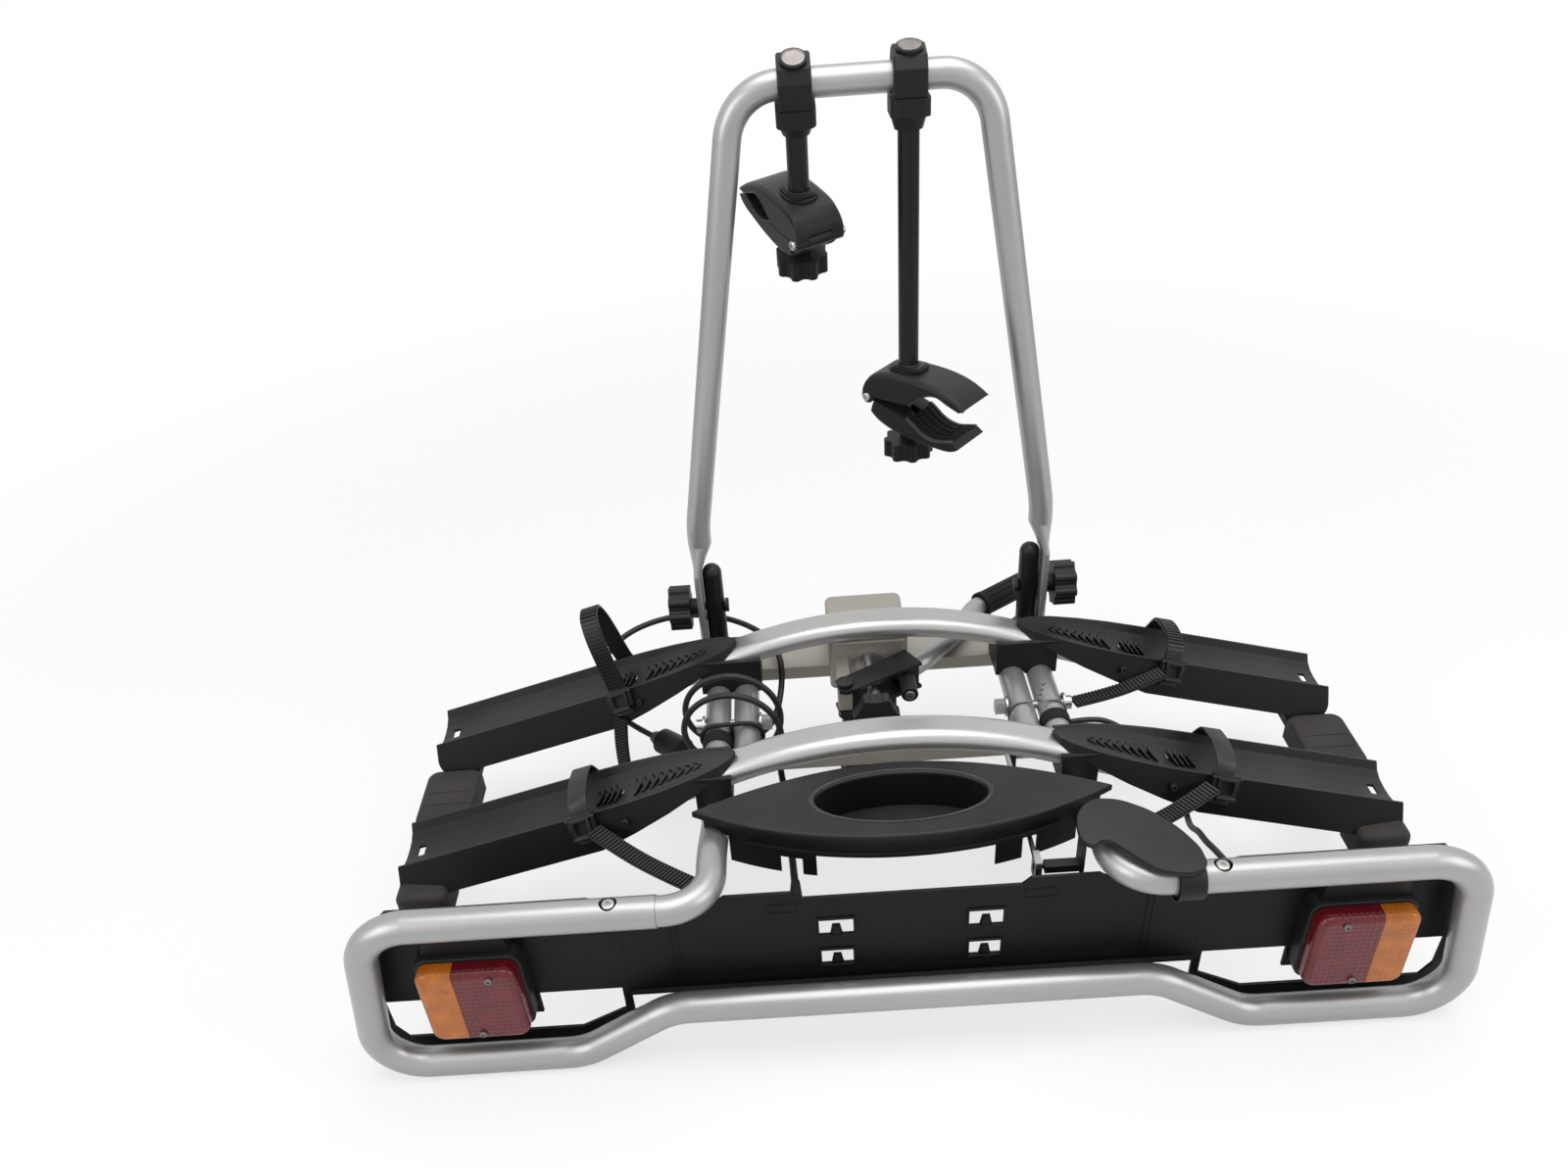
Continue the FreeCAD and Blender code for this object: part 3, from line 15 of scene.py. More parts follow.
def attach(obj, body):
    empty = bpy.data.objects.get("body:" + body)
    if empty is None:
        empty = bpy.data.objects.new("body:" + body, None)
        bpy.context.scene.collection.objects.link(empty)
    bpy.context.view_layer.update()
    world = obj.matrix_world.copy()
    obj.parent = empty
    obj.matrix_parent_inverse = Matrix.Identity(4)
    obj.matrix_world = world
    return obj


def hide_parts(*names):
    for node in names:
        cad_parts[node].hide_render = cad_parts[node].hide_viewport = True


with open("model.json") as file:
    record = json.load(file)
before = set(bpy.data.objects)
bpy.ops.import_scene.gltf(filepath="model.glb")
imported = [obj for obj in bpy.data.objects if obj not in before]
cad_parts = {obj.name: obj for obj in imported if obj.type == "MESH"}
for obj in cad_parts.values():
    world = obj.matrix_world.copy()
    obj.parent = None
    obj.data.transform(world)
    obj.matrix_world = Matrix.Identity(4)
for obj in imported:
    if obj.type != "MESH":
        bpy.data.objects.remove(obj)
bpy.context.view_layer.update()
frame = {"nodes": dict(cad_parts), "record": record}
nodes = frame["nodes"]
scene = bpy.context.scene

# %% [markdown]
# The model's origin is the centre of the towball. The places below are counted from the floor
# and from the middle of the platform, in millimetres.
# One helper turns such a point into metres in the model's own frame.

# %% Places in millimetres
BALL = Vector((-9.0, 128.0, 50.0))
FLOOR_Z = -BALL.z / 1000


def at(x, y, z):
    return (Vector((x, y, z)) - BALL) / 1000


def mm(length):
    return length / 1000


def from_axes(x, y, z, origin):
    """Matrix whose columns are three directions and a place."""
    return Matrix((
        (x[0], y[0], z[0], origin[0]),
        (x[1], y[1], z[1], origin[1]),
        (x[2], y[2], z[2], origin[2]),
        (0, 0, 0, 1)))


BAR_Y, BAR_Z = -291, 204
BOARD_Y = -268.0
TUBE_PAIR_X, PAIR_HALF_GAP, SIDE_TUBE_Z = 163.5, 15.5, 174.0
TRAY_TIP_X, TRAY_TIP_Z, SKIRT_LEAN = 156, 231, 18.0 / 34.0
LYRE_Y, LYRE_TOP_Z = 150, 771
print("floor at", round(FLOOR_Z, 3))

# %% [markdown]
# ## Camera
# The photograph was taken from behind the car, a little above the lyre's top and looking down.
# A solved camera gives its place, its three turns and its lens. A small vertical shift keeps
# the uprights from leaning the way they would if the camera were simply tilted further.

# %% Camera
EYE = at(-85.56, -1027.47, 985.89)
PHOTO_WIDE, PHOTO_TALL = 1600, 1200
FOCAL_PX, CENTRE_X_PX, CENTRE_Y_PX = 1236.17, 801.48, 717.61
YAW, PITCH, ROLL = math.radians(-1.067), math.radians(37.354), math.radians(-4.427)
forward = Vector((math.sin(YAW) * math.cos(PITCH), math.cos(YAW) * math.cos(PITCH), -math.sin(PITCH)))
level = Vector((math.cos(YAW), -math.sin(YAW), 0))
upright = level.cross(forward)
right = math.cos(ROLL) * level + math.sin(ROLL) * upright
up = -math.sin(ROLL) * level + math.cos(ROLL) * upright
camera_data = bpy.data.cameras.new("camera")
camera_data.sensor_width = 36.0
camera_data.lens = camera_data.sensor_width * FOCAL_PX / PHOTO_WIDE
camera_data.shift_x = -(CENTRE_X_PX - PHOTO_WIDE / 2) / PHOTO_WIDE
camera_data.shift_y = (CENTRE_Y_PX - PHOTO_TALL / 2) / PHOTO_WIDE
camera_data.clip_start = 0.02
camera = bpy.data.objects.new("camera", camera_data)
camera.matrix_world = from_axes(right, up, -forward, EYE)
scene.collection.objects.link(camera)
scene.camera = camera
print("lens", round(camera_data.lens, 2), "shift", round(camera_data.shift_y, 4))

# %% [markdown]
# ## Light and floor
# Product pictures use a white sweep and large soft lamps. The floor is one pale plane that
# keeps the shadow. The white behind it comes from the world, but only for what the camera,
# a reflection or a clear part sees, so that no extra light falls on the carrier.

# %% World and floor
def add_node(tree, kind, operation=None, **values):
    """A shader node with some inputs set; an underscore in a name stands for a space."""
    node = tree.nodes.new("ShaderNode" + kind)
    if operation:
        node.operation = operation
    for name, value in values.items():
        node.inputs[name.replace("_", " ")].default_value = value
    return node


scene.view_settings.view_transform = "Standard"
world = bpy.data.worlds.new("studio")
scene.world = world
world.use_nodes = True
w = world.node_tree
w.nodes.clear()
link = w.links.new
out = add_node(w, "OutputWorld")
mix = add_node(w, "MixShader")
dim = add_node(w, "Background", Color=(1, 1, 1, 1), Strength=0.36)
white = add_node(w, "Background", Color=(1, 1, 1, 1), Strength=1.0)
path = add_node(w, "LightPath")
either = add_node(w, "Math", "MAXIMUM")
both = add_node(w, "Math", "MAXIMUM")
link(path.outputs["Is Camera Ray"], either.inputs[0])
link(path.outputs["Is Glossy Ray"], either.inputs[1])
link(either.outputs[0], both.inputs[0])
link(path.outputs["Is Transmission Ray"], both.inputs[1])
link(both.outputs[0], mix.inputs["Fac"])
link(dim.outputs[0], mix.inputs[1])
link(white.outputs[0], mix.inputs[2])
link(mix.outputs[0], out.inputs["Surface"])


def select_none():
    for o in bpy.context.selected_objects:
        o.select_set(False)


bpy.ops.mesh.primitive_plane_add(size=14, location=(0, 3, FLOOR_Z))
floor = bpy.context.active_object
floor.name = "studio_floor"
bpy.ops.object.transform_apply(location=True)
paper = bpy.data.materials.new("paper_sweep")
paper.use_nodes = True
p = paper.node_tree
p.nodes.clear()
link = p.links.new
out = add_node(p, "OutputMaterial")
mix = add_node(p, "MixShader")
lit = add_node(p, "BsdfDiffuse", Color=(0.94, 0.94, 0.94, 1))
glow = add_node(p, "Emission", Strength=1.0)
path = add_node(p, "LightPath")
spot = add_node(p, "TexCoord")
away = add_node(p, "VectorMath", "LENGTH")
fade = add_node(p, "MapRange", From_Min=0.75, From_Max=1.9, To_Min=0.66, To_Max=1.0)
share = add_node(p, "Math", "MULTIPLY")
link(spot.outputs["Object"], away.inputs[0])
link(away.outputs["Value"], fade.inputs["Value"])
link(fade.outputs[0], share.inputs[1])
link(path.outputs["Is Camera Ray"], share.inputs[0])
link(share.outputs[0], mix.inputs["Fac"])
link(lit.outputs[0], mix.inputs[1])
link(glow.outputs[0], mix.inputs[2])
link(mix.outputs[0], out.inputs["Surface"])
floor.data.materials.append(paper)


def soft_lamp(name, place, aim, size, watts):
    data = bpy.data.lights.new(name, "AREA")
    data.shape = "RECTANGLE"
    data.size, data.size_y = size
    data.energy = watts
    lamp = bpy.data.objects.new(name, data)
    lamp.location = place
    lamp.rotation_mode = "QUATERNION"
    lamp.rotation_quaternion = (Vector(aim) - Vector(place)).to_track_quat("-Z", "Y")
    scene.collection.objects.link(lamp)


soft_lamp("overhead_box", (0.2, -0.3, 2.6), (0, 0, 0.1), (2.6, 2.2), 50)
soft_lamp("left_box", (-2.2, -1.6, 1.5), (0, 0, 0.2), (1.4, 1.8), 22)
soft_lamp("right_box", (2.3, -1.2, 1.3), (0, 0, 0.2), (1.2, 1.6), 16)

# %% [markdown]
# ## Finishes
# Every finish is a Principled shader. Its colour varies in broad patches, its roughness and its
# bump in a fine grain. The patterns read Object coordinates, so they stay on the piece when it
# moves. One helper makes them all from each finish's own values. Some dark finishes are also
# painted a little lighter where they face up, a painted top light for the light from above, read from the piece's own
# normals.


# %% A finish made from nodes
# Painted top light: the lighter grey that up-facing faces of the dark finishes are mixed towards, standing for light
# from above.
TOP_LIGHT_TINT = (0.075, 0.072, 0.068, 1)


def finish(name, colour, rough, patch, grain, metal=0.0, rough_swing=0.12, stretch=(1, 1, 1), coat=0.0,
           spec=0.5, dust=0.0):
    """Patch and grain are pairs: the scale of a noise and how far it goes."""
    material = bpy.data.materials.new(name)
    material.use_nodes = True
    tree = material.node_tree
    link = tree.links.new
    shader = tree.nodes["Principled BSDF"]
    shader.inputs["Metallic"].default_value = metal
    shader.inputs["Coat Weight"].default_value = coat
    shader.inputs["Coat Roughness"].default_value = 0.12
    shader.inputs["Specular IOR Level"].default_value = spec
    coords = add_node(tree, "TexCoord")
    place = add_node(tree, "Mapping", Scale=stretch)
    broad = add_node(tree, "TexNoise", Scale=patch[0], Detail=5)
    fine = add_node(tree, "TexNoise", Scale=grain[0], Detail=3)
    link(coords.outputs["Object"], place.inputs["Vector"])
    link(place.outputs[0], broad.inputs["Vector"])
    link(place.outputs[0], fine.inputs["Vector"])
    tint = add_node(tree, "ValToRGB")
    low, high = tint.color_ramp.elements
    low.position, high.position = 0.3, 0.7
    low.color = tuple(c * (1 - patch[1]) for c in colour) + (1,)
    high.color = tuple(min(1, c * (1 + patch[1])) for c in colour) + (1,)
    link(broad.outputs["Fac"], tint.inputs["Fac"])
    link(tint.outputs["Color"], shader.inputs["Base Color"])
    # Painted top light: faces whose normal points up are mixed towards a lighter grey, as if lit from above; the patch
    # noise makes it uneven.
    if dust:
        faces = add_node(tree, "SeparateXYZ")
        upward = add_node(tree, "MapRange", From_Min=0.45, To_Max=dust)
        uneven = add_node(tree, "Math", "MULTIPLY")
        top_light_mix = add_node(tree, "Mix")
        top_light_mix.data_type = "RGBA"
        top_light_mix.inputs["B"].default_value = TOP_LIGHT_TINT
        link(coords.outputs["Normal"], faces.inputs[0])
        link(faces.outputs["Z"], upward.inputs["Value"])
        link(upward.outputs[0], uneven.inputs[0])
        link(broad.outputs["Fac"], uneven.inputs[1])
        link(uneven.outputs[0], top_light_mix.inputs["Factor"])
        link(tint.outputs["Color"], top_light_mix.inputs["A"])
        link(top_light_mix.outputs["Result"], shader.inputs["Base Color"])
    swing = add_node(tree, "MapRange", To_Min=max(0.03, rough - rough_swing), To_Max=min(1.0, rough + rough_swing))
    bump = add_node(tree, "Bump", Strength=grain[1], Distance=0.0004)
    link(fine.outputs["Fac"], swing.inputs["Value"])
    link(swing.outputs[0], shader.inputs["Roughness"])
    link(fine.outputs["Fac"], bump.inputs["Height"])
    link(bump.outputs[0], shader.inputs["Normal"])
    return material


silver_paint = finish("silver_paint", (0.375, 0.378, 0.38), metal=0.7, rough=0.36, patch=(5, 0.06),
                      grain=(2600, 0.10), rough_swing=0.08, coat=0.2)
rail_metal = finish("rail_metal", (0.46, 0.457, 0.45), metal=0.8, rough=0.36, patch=(4, 0.07), grain=(900, 0.12),
                    stretch=(0.05, 1, 1))
beam_metal = finish("beam_metal", (0.40, 0.375, 0.33), metal=0.55, rough=0.5, patch=(9, 0.1), grain=(800, 0.2),
                    stretch=(0.06, 1, 1))
cast_black = finish("cast_black", (0.015, 0.015, 0.016), rough=0.5, patch=(30, 0.3), grain=(420, 0.5), spec=0.3)
# The last value given to the dark finishes below is the share of painted top light on their up-facing faces.
powder_black = finish("powder_black", (0.007, 0.007, 0.0075), rough=0.38, patch=(12, 0.2), grain=(1500, 0.3),
                      coat=0.04, spec=0.24, dust=0.3)
moulded_black = finish("moulded_black", (0.0085, 0.0085, 0.009), rough=0.44, patch=(10, 0.25), grain=(1900, 0.28),
                       spec=0.22, dust=0.5)
tray_black = finish("tray_black", (0.0055, 0.0055, 0.006), rough=0.40, patch=(7, 0.25), grain=(1400, 0.3), spec=0.16,
                    dust=0.75)
board_black = finish("board_black", (0.005, 0.005, 0.0052), rough=0.4, patch=(6, 0.22), grain=(1100, 0.2), spec=0.14,
                     dust=0.5)
soft_rubber = finish("soft_rubber", (0.011, 0.011, 0.0115), rough=0.7, patch=(20, 0.25), grain=(1300, 0.3), spec=0.2)
bright_zinc = finish("bright_zinc", (0.46, 0.455, 0.44), metal=1.0, rough=0.3, patch=(40, 0.14), grain=(1500, 0.12))
dull_zinc = finish("dull_zinc", (0.17, 0.165, 0.155), metal=0.9, rough=0.42, patch=(60, 0.2), grain=(1500, 0.2))
grey_moulding = finish("grey_moulding", (0.026, 0.023, 0.021), rough=0.6, patch=(14, 0.25), grain=(1300, 0.3),
                       spec=0.2, dust=0.4)
arm_black = finish("arm_black", (0.006, 0.006, 0.0065), metal=0.3, rough=0.3, patch=(10, 0.2), grain=(1800, 0.12),
                   spec=0.35)
lens_red = finish("lens_red", (0.125, 0.004, 0.010), rough=0.2, patch=(60, 0.25), grain=(300, 0.05), rough_swing=0.05,
                  coat=0.3, spec=0.3)
lens_amber = finish("lens_amber", (0.44, 0.125, 0.010), rough=0.2, patch=(60, 0.2), grain=(300, 0.05),
                    rough_swing=0.05, coat=0.3, spec=0.3)
cable_sheath = finish("cable_sheath", (0.012, 0.012, 0.0125), rough=0.42, patch=(30, 0.2), grain=(900, 0.12), spec=0.35)
pearl_disc = finish("pearl_disc", (0.24, 0.215, 0.20), metal=0.6, rough=0.22, patch=(90, 0.25), grain=(700, 0.05),
                    coat=0.4)
print("finishes", len(bpy.data.materials))

# %% [markdown]
# The carried-over nodes keep their shape and only change their finish.
# The record names a material slot for each node, so one table pairs slots with finishes.

# %% Paint the carried-over nodes
FINISH_OF_SLOT = {
    "silver_paint": silver_paint, "rail_alu": rail_metal, "beam_alu": beam_metal, "cast_black": cast_black,
    "black_steel": powder_black, "zinc": bright_zinc, "black_plastic": moulded_black,
    "black_rubber": soft_rubber, "black_alu": arm_black, "link_grey": grey_moulding,
    "board_black": board_black, "red_lens": lens_red, "amber_lens": lens_amber, "cable": cable_sheath,
}
slot_of_node = {s["node"]: s["material_slot"] for s in frame["record"]["subparts"]}
for name, node in nodes.items():
    node.data.materials.clear()
    node.data.materials.append(FINISH_OF_SLOT[slot_of_node[name]])
for name in ("tray_front_left", "tray_front_right", "tray_rear_left", "tray_rear_right"):
    nodes[name].data.materials[0] = tray_black
print("painted", len(nodes))

# %% [markdown]
# ## The trailer lead
# The lead comes out under the cover, is wound twice round the left tubes to take up its length,
# runs on under the rear tray and ends there in its plug. It is one smooth curve, because a
# stiff cable never has a corner.

# %% Trailer lead
LEAD_R = mm(3.5)
COIL_R, COIL_Y0, COIL_PITCH = 54.0, -24.0, 34.0
COIL_STEP, COIL_POINTS = 30, 25


def coil_point(k):
    turn = math.radians(120 - COIL_STEP * k)
    return at(-TUBE_PAIR_X + COIL_R * math.sin(turn), COIL_Y0 + k * COIL_PITCH * COIL_STEP / 360,
              SIDE_TUBE_Z + COIL_R * math.cos(turn))


def nurbs_curve(name, points, flat=False, closed=False, steps=8):
    """A smooth curve led by given points, as an object."""
    data = bpy.data.curves.new(name, "CURVE")
    data.dimensions = "2D" if flat else "3D"
    line = data.splines.new("NURBS")
    line.points.add(len(points) - 1)
    for point, place in zip(line.points, points):
        point.co = (*place, 1)
    line.use_cyclic_u = closed
    line.order_u = 3
    line.use_endpoint_u = not closed
    line.resolution_u = steps
    curve = bpy.data.objects.new(name, data)
    scene.collection.objects.link(curve)
    return curve


def thick(curve, radius, roundness):
    curve.data.bevel_depth = radius
    curve.data.bevel_resolution = roundness
    curve.data.use_fill_caps = True
    return curve


def smooth_cord(name, route, radius):
    cord = thick(nurbs_curve(name, route), radius, 5)
    cord.data.materials.append(cable_sheath)
    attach(cord, "platform")
    return cord


lead_route = [at(-104, -248, 176), at(-106, -196, 168), at(-108, -146, 160), at(-110, -106, 138), at(-110, -66, 122)]
lead_route += [coil_point(k) for k in range(COIL_POINTS)]
lead_route += [at(-106, 86, 176), at(-112, 126, 190), at(-142, 170, 192), at(-196, 197, 195), at(-252, 192, 195),
               at(-300, 170, 186), at(-330, 150, 152), at(-322, 132, 116), at(-290, 106, 102), at(-262, 78, 106)]
lead = smooth_cord("lead_cable", lead_route, LEAD_R)
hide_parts("trailer_lead")
print("lead points", len(lead_route))

# %% [markdown]
# ## Working by hand, in code
# Each new piece starts from a primitive at its size and place and is then shaped in edit mode:
# faces and edges are picked by where they are or which way they look, and an operator acts on them.
# These few helpers do the picking, apply a modifier, and set a finished shape into its place, so that
# its object stays at the origin, as the carried-over nodes do.


# %% Modelling helpers
def only(piece):
    select_none()
    piece.select_set(True)
    bpy.context.view_layer.objects.active = piece


def started(name):
    """The primitive just added, under its own name."""
    piece = bpy.context.active_object
    piece.name = name
    piece.data.name = name
    return piece


def shaped(name, scale=None):
    """The primitive just added, with its place, turn and scale written into its mesh."""
    piece = started(name)
    if scale:
        piece.scale = scale
    bpy.ops.object.transform_apply(location=True, rotation=True, scale=True)
    return piece


def cube(name, size, place=(0, 0, 0), turn=(0, 0, 0)):
    """A box of this size in millimetres, with its middle at a place."""
    bpy.ops.mesh.primitive_cube_add(size=1, location=[mm(c) for c in place], rotation=turn,
                                    scale=[mm(c) for c in size])
    return shaped(name)


def cylinder(name, sides, radius, length, place=(0, 0, 0), turn=(0, 0, 0), ends="NGON"):
    """A cylinder along Z, unless it is turned; with ends "NOTHING" it is an open tube."""
    bpy.ops.mesh.primitive_cylinder_add(vertices=sides, radius=mm(radius), depth=mm(length), end_fill_type=ends,
                                        location=[mm(c) for c in place], rotation=turn)
    return shaped(name)


def torus(name, sides, radius, tube, height=0, scale=None, rows=10):
    """A ring round Z; radius is that of the ring, tube that of its section."""
    bpy.ops.mesh.primitive_torus_add(major_segments=sides, minor_segments=rows, major_radius=mm(radius),
                                     minor_radius=mm(tube), location=(0, 0, mm(height)))
    return shaped(name, scale)


def drop(*originals):
    """Take away the pieces that were only there to be copied."""
    for piece in originals:
        bpy.data.objects.remove(piece)


def pick(piece, test, kind="FACE"):
    """Select the faces, edges or points that pass a test of their place and direction."""
    bpy.context.view_layer.objects.active = piece
    bpy.ops.object.mode_set(mode="EDIT")
    bpy.context.tool_settings.mesh_select_mode = (kind == "VERT", kind == "EDGE", kind == "FACE")
    bpy.ops.mesh.select_all(action="DESELECT")
    mesh = bmesh.from_edit_mesh(piece.data)
    for part in {"VERT": mesh.verts, "EDGE": mesh.edges, "FACE": mesh.faces}[kind]:
        if kind == "VERT":
            good = test(part.co, part.normal)
        elif kind == "EDGE":
            a, b = part.verts
            good = test((a.co + b.co) / 2, (b.co - a.co).normalized())
        else:
            good = test(part.calc_center_median(), part.normal)
        if good:
            part.select_set(True)
    bmesh.update_edit_mesh(piece.data)


def round_off(piece, test, offset, segments=2):
    """Bevel the edges that pass a test."""
    pick(piece, test, "EDGE")
    bpy.ops.mesh.bevel(offset=mm(offset), segments=segments)


def leave():
    bpy.ops.object.mode_set(mode="OBJECT")


def pushed(step):
    """Extrude the picked faces by a step."""
    bpy.ops.mesh.extrude_region_move(TRANSFORM_OT_translate={"value": step})


def raised(inset, height, direction):
    """Inset the picked faces and push them out (or in, with a negative height)."""
    bpy.ops.mesh.inset(thickness=inset, use_even_offset=True)
    pushed(Vector(direction) * height)


def modified(piece, kind, **settings):
    modifier = piece.modifiers.new(kind.lower(), kind)
    for key, value in settings.items():
        setattr(modifier, key, value)
    only(piece)
    bpy.ops.object.modifier_apply(modifier=modifier.name)
    return piece


def thickened(piece, wall, edge, offset=0, segments=2):
    """Give a sheet its thickness and soft edges."""
    modified(piece, "SOLIDIFY", thickness=mm(wall), offset=offset)
    return modified(piece, "BEVEL", width=mm(edge), segments=segments, limit_method="ANGLE")


def set_in(piece, place):
    """Move a piece by a matrix and write its place into its mesh."""
    piece.matrix_world = place
    only(piece)
    bpy.ops.object.transform_apply(location=True, rotation=True, scale=True)
    return piece


def twin(piece, name, place):
    other = piece.copy()
    other.data = piece.data.copy()
    other.name = name
    other.data.name = name
    scene.collection.objects.link(other)
    return set_in(other, place)


def joined(pieces, name):
    select_none()
    for piece in pieces:
        piece.select_set(True)
    bpy.context.view_layer.objects.active = pieces[0]
    if len(pieces) > 1:
        bpy.ops.object.join()
    return started(name)


def axes(origin, x_dir, z_dir):
    """Place matrix with this origin, X along x_dir and Z as near z_dir as it can be."""
    x = Vector(x_dir).normalized()
    y = Vector(z_dir).cross(x).normalized()
    z = x.cross(y)
    return from_axes(x, y, z, origin)


def dress(piece, material, body, smooth=35, stands_for=()):
    piece.data.materials.clear()
    piece.data.materials.append(material)
    only(piece)
    if smooth:
        bpy.ops.object.shade_smooth_by_angle(angle=math.radians(smooth))
    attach(piece, body)
    if stands_for:
        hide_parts(*stands_for)
    return piece


TRAY_SLOPE = math.radians(15.2)
TRAYS = {"front_left": (-1, -112), "front_right": (1, -112), "rear_left": (-1, 82), "rear_right": (1, 82)}


def tray_place(side, y, out, up):
    """Axes of a tray at a distance out from its tip: X runs outwards, Z stands on its rim."""
    c, s = math.cos(TRAY_SLOPE), math.sin(TRAY_SLOPE)
    x_dir, z_dir = Vector((side * c, 0, -s)), Vector((side * s, 0, c))
    origin = at(side * TRAY_TIP_X, y, TRAY_TIP_Z) + (x_dir * out + z_dir * up) / 1000
    return axes(origin, x_dir, z_dir)


print("helpers ready")

# %% [markdown]
# ## Wheel straps
# Each tray has a ratchet strap: a flat rubber-like band, smooth over the front trays and ribbed like a
# fine ladder over the rear ones and on the tails. By hand this is one short link of the band, repeated
# with an Array and laid along a flat curve with a Curve modifier, so every rib stays square to the band.

# %% One link of the band
BAND_T, LINK = mm(1.8), mm(4.2)


def band_link(width, ribbed):
    """Ribbed is 0 for a smooth link, else 1 or -1 for the face that carries the rib."""
    bpy.ops.mesh.primitive_cube_add(size=1, location=(LINK / 2, 0, 0), scale=(LINK, BAND_T, mm(width)))
    link = shaped("band_link")
    if ribbed:
        pick(link, lambda p, n: n.y * ribbed > 0.9)
        raised(mm(0.9), mm(1.7), (0, ribbed, 0))
    else:
        round_off(link, lambda p, d: abs(d.x) > 0.9, 0.6)
    pick(link, lambda p, n: abs(n.x) > 0.9 and abs(abs(p.x - LINK / 2) - LINK / 2) < 1e-6)
    bpy.ops.mesh.delete(type="FACE")
    leave()
    return link


def band(name, points, width, ribbed, place):
    """A band laid along points of a plane; X and Y of the place span that plane."""
    link = band_link(width, ribbed)
    curve = nurbs_curve("band_line", [(mm(a), mm(b), 0) for a, b in points], flat=True, steps=10)
    curve.data.resolution_u = 10
    length = curve.data.splines[0].calc_length()
    modified(link, "ARRAY", fit_type="FIXED_COUNT", count=max(2, round(length / LINK)), use_merge_vertices=True,
             merge_threshold=1e-5)
    modified(link, "CURVE", object=curve, deform_axis="POS_X")
    pick(link, lambda p, n: True)
    bpy.ops.mesh.fill_holes(sides=0)
    bpy.ops.mesh.normals_make_consistent(inside=False)
    leave()
    drop(curve)
    link.name = name
    return set_in(link, place)

# %% [markdown]
# The loop stands across the tray, so its plane is the tray's cross plane: one axis runs towards
# the back of the carrier, the other stands on the rim. The rear left strap is pulled out into a
# tall loop, the others lie low over the trough. The ribbed tails are pulled through and hang loose.

# %% Loops across the trays
STRAP_W, STRAP_GAP, SKIRT_Y = 20, 1.8, 33.0
strap_spots = {"front_left": (310, 16), "front_right": (318, 16), "rear_left": (288, 88), "rear_right": (322, 20)}


def rim_at(key):
    """Where a strap crosses its tray's rim, the direction up out of the tray, and the tray's side."""
    side, y = TRAYS[key]
    x = strap_spots[key][0]
    up = Vector((side * math.sin(TRAY_SLOPE), 0, math.cos(TRAY_SLOPE)))
    rim_z = TRAY_TIP_Z - (x - TRAY_TIP_X) * math.tan(TRAY_SLOPE)
    return at(side * x, y, rim_z), up, side


def cross_place(key):
    origin, up, _ = rim_at(key)
    back = Vector((0, 1, 0))
    return from_axes(back, up, back.cross(up), origin)


def skirt_at(height, distance):
    return SKIRT_Y - height * SKIRT_LEAN + distance * math.sqrt(1 + SKIRT_LEAN ** 2)


straps = []
for key, (x, height) in strap_spots.items():
    half = [(skirt_at(z, STRAP_GAP), z) for z in (-24, -10, 4)]
    half += [(27, height * 0.62 + 4), (15, height * 0.95 + 1)]
    line = half + [(0, height + 2)] + [(-a, b) for a, b in half[::-1]]
    ribbed = -1 if key in ("rear_left", "rear_right") else 0
    straps.append(band("strap_" + key, line, STRAP_W, ribbed, cross_place(key)))
print("loops", len(straps))

# %% Loose tails
def tail(name, start, end, sag):
    """Ribbed end of a strap from its buckle to its tip, hanging a little between the two."""
    a, b = at(*start), at(*end)
    run = (b - a).length * 1000
    line = [(0, 0), (run * 0.3, -sag), (run * 0.65, -sag * 1.1), (run, 0)]
    width_dir = (b - a).normalized().cross(Vector((0, 0, 1)))
    return band(name, line, STRAP_W - 2, 1, axes(a, b - a, width_dir))


tails = [
    tail("tail_front_left", (-297, -161, 184), (-199, -250, 193), 5),
    tail("tail_front_right", (303, -160, 188), (226, -206, 185), 3),
    tail("tail_rear_right", (308, 33, 184), (204, 1, 176), 4),
    tail("tail_rear_left", (-288, 33, 172), (-292, 27, 106), -2),
]
strap_black = finish("strap_black", (0.011, 0.011, 0.0115), rough=0.42, patch=(26, 0.25), grain=(1200, 0.2), spec=0.4)
strap_band = joined(straps + tails, "wheel_strap_bands")
dress(strap_band, strap_black, "platform", smooth=40, stands_for=["wheel_straps"])
print("strap faces", len(strap_band.data.polygons))

# %% [markdown]
# ## Ratchet buckles
# A buckle is a small moulded body riveted to the band, with a tooth lever that ends in a square
# finger frame. Body and lever are separate pieces, because the lever lifts on its own hinge.
# The finger frame is the easiest of all: a plane, inset, its middle deleted, then Solidify and Bevel.

# %% Buckle bodies and levers
def buckle_place(key, height, distance):
    """On the skirt of a tray: X along the tray, Y straight out of the skirt, Z up along it."""
    origin, up, side = rim_at(key)
    front = Vector((0, -1, 0))
    out = (front + up * SKIRT_LEAN) / math.sqrt(1 + SKIRT_LEAN ** 2)
    along = Vector((-math.cos(TRAY_SLOPE), 0, side * math.sin(TRAY_SLOPE)))
    origin = origin + (front * skirt_at(height, distance) + up * height) / 1000
    return from_axes(along, out, along.cross(out), origin)


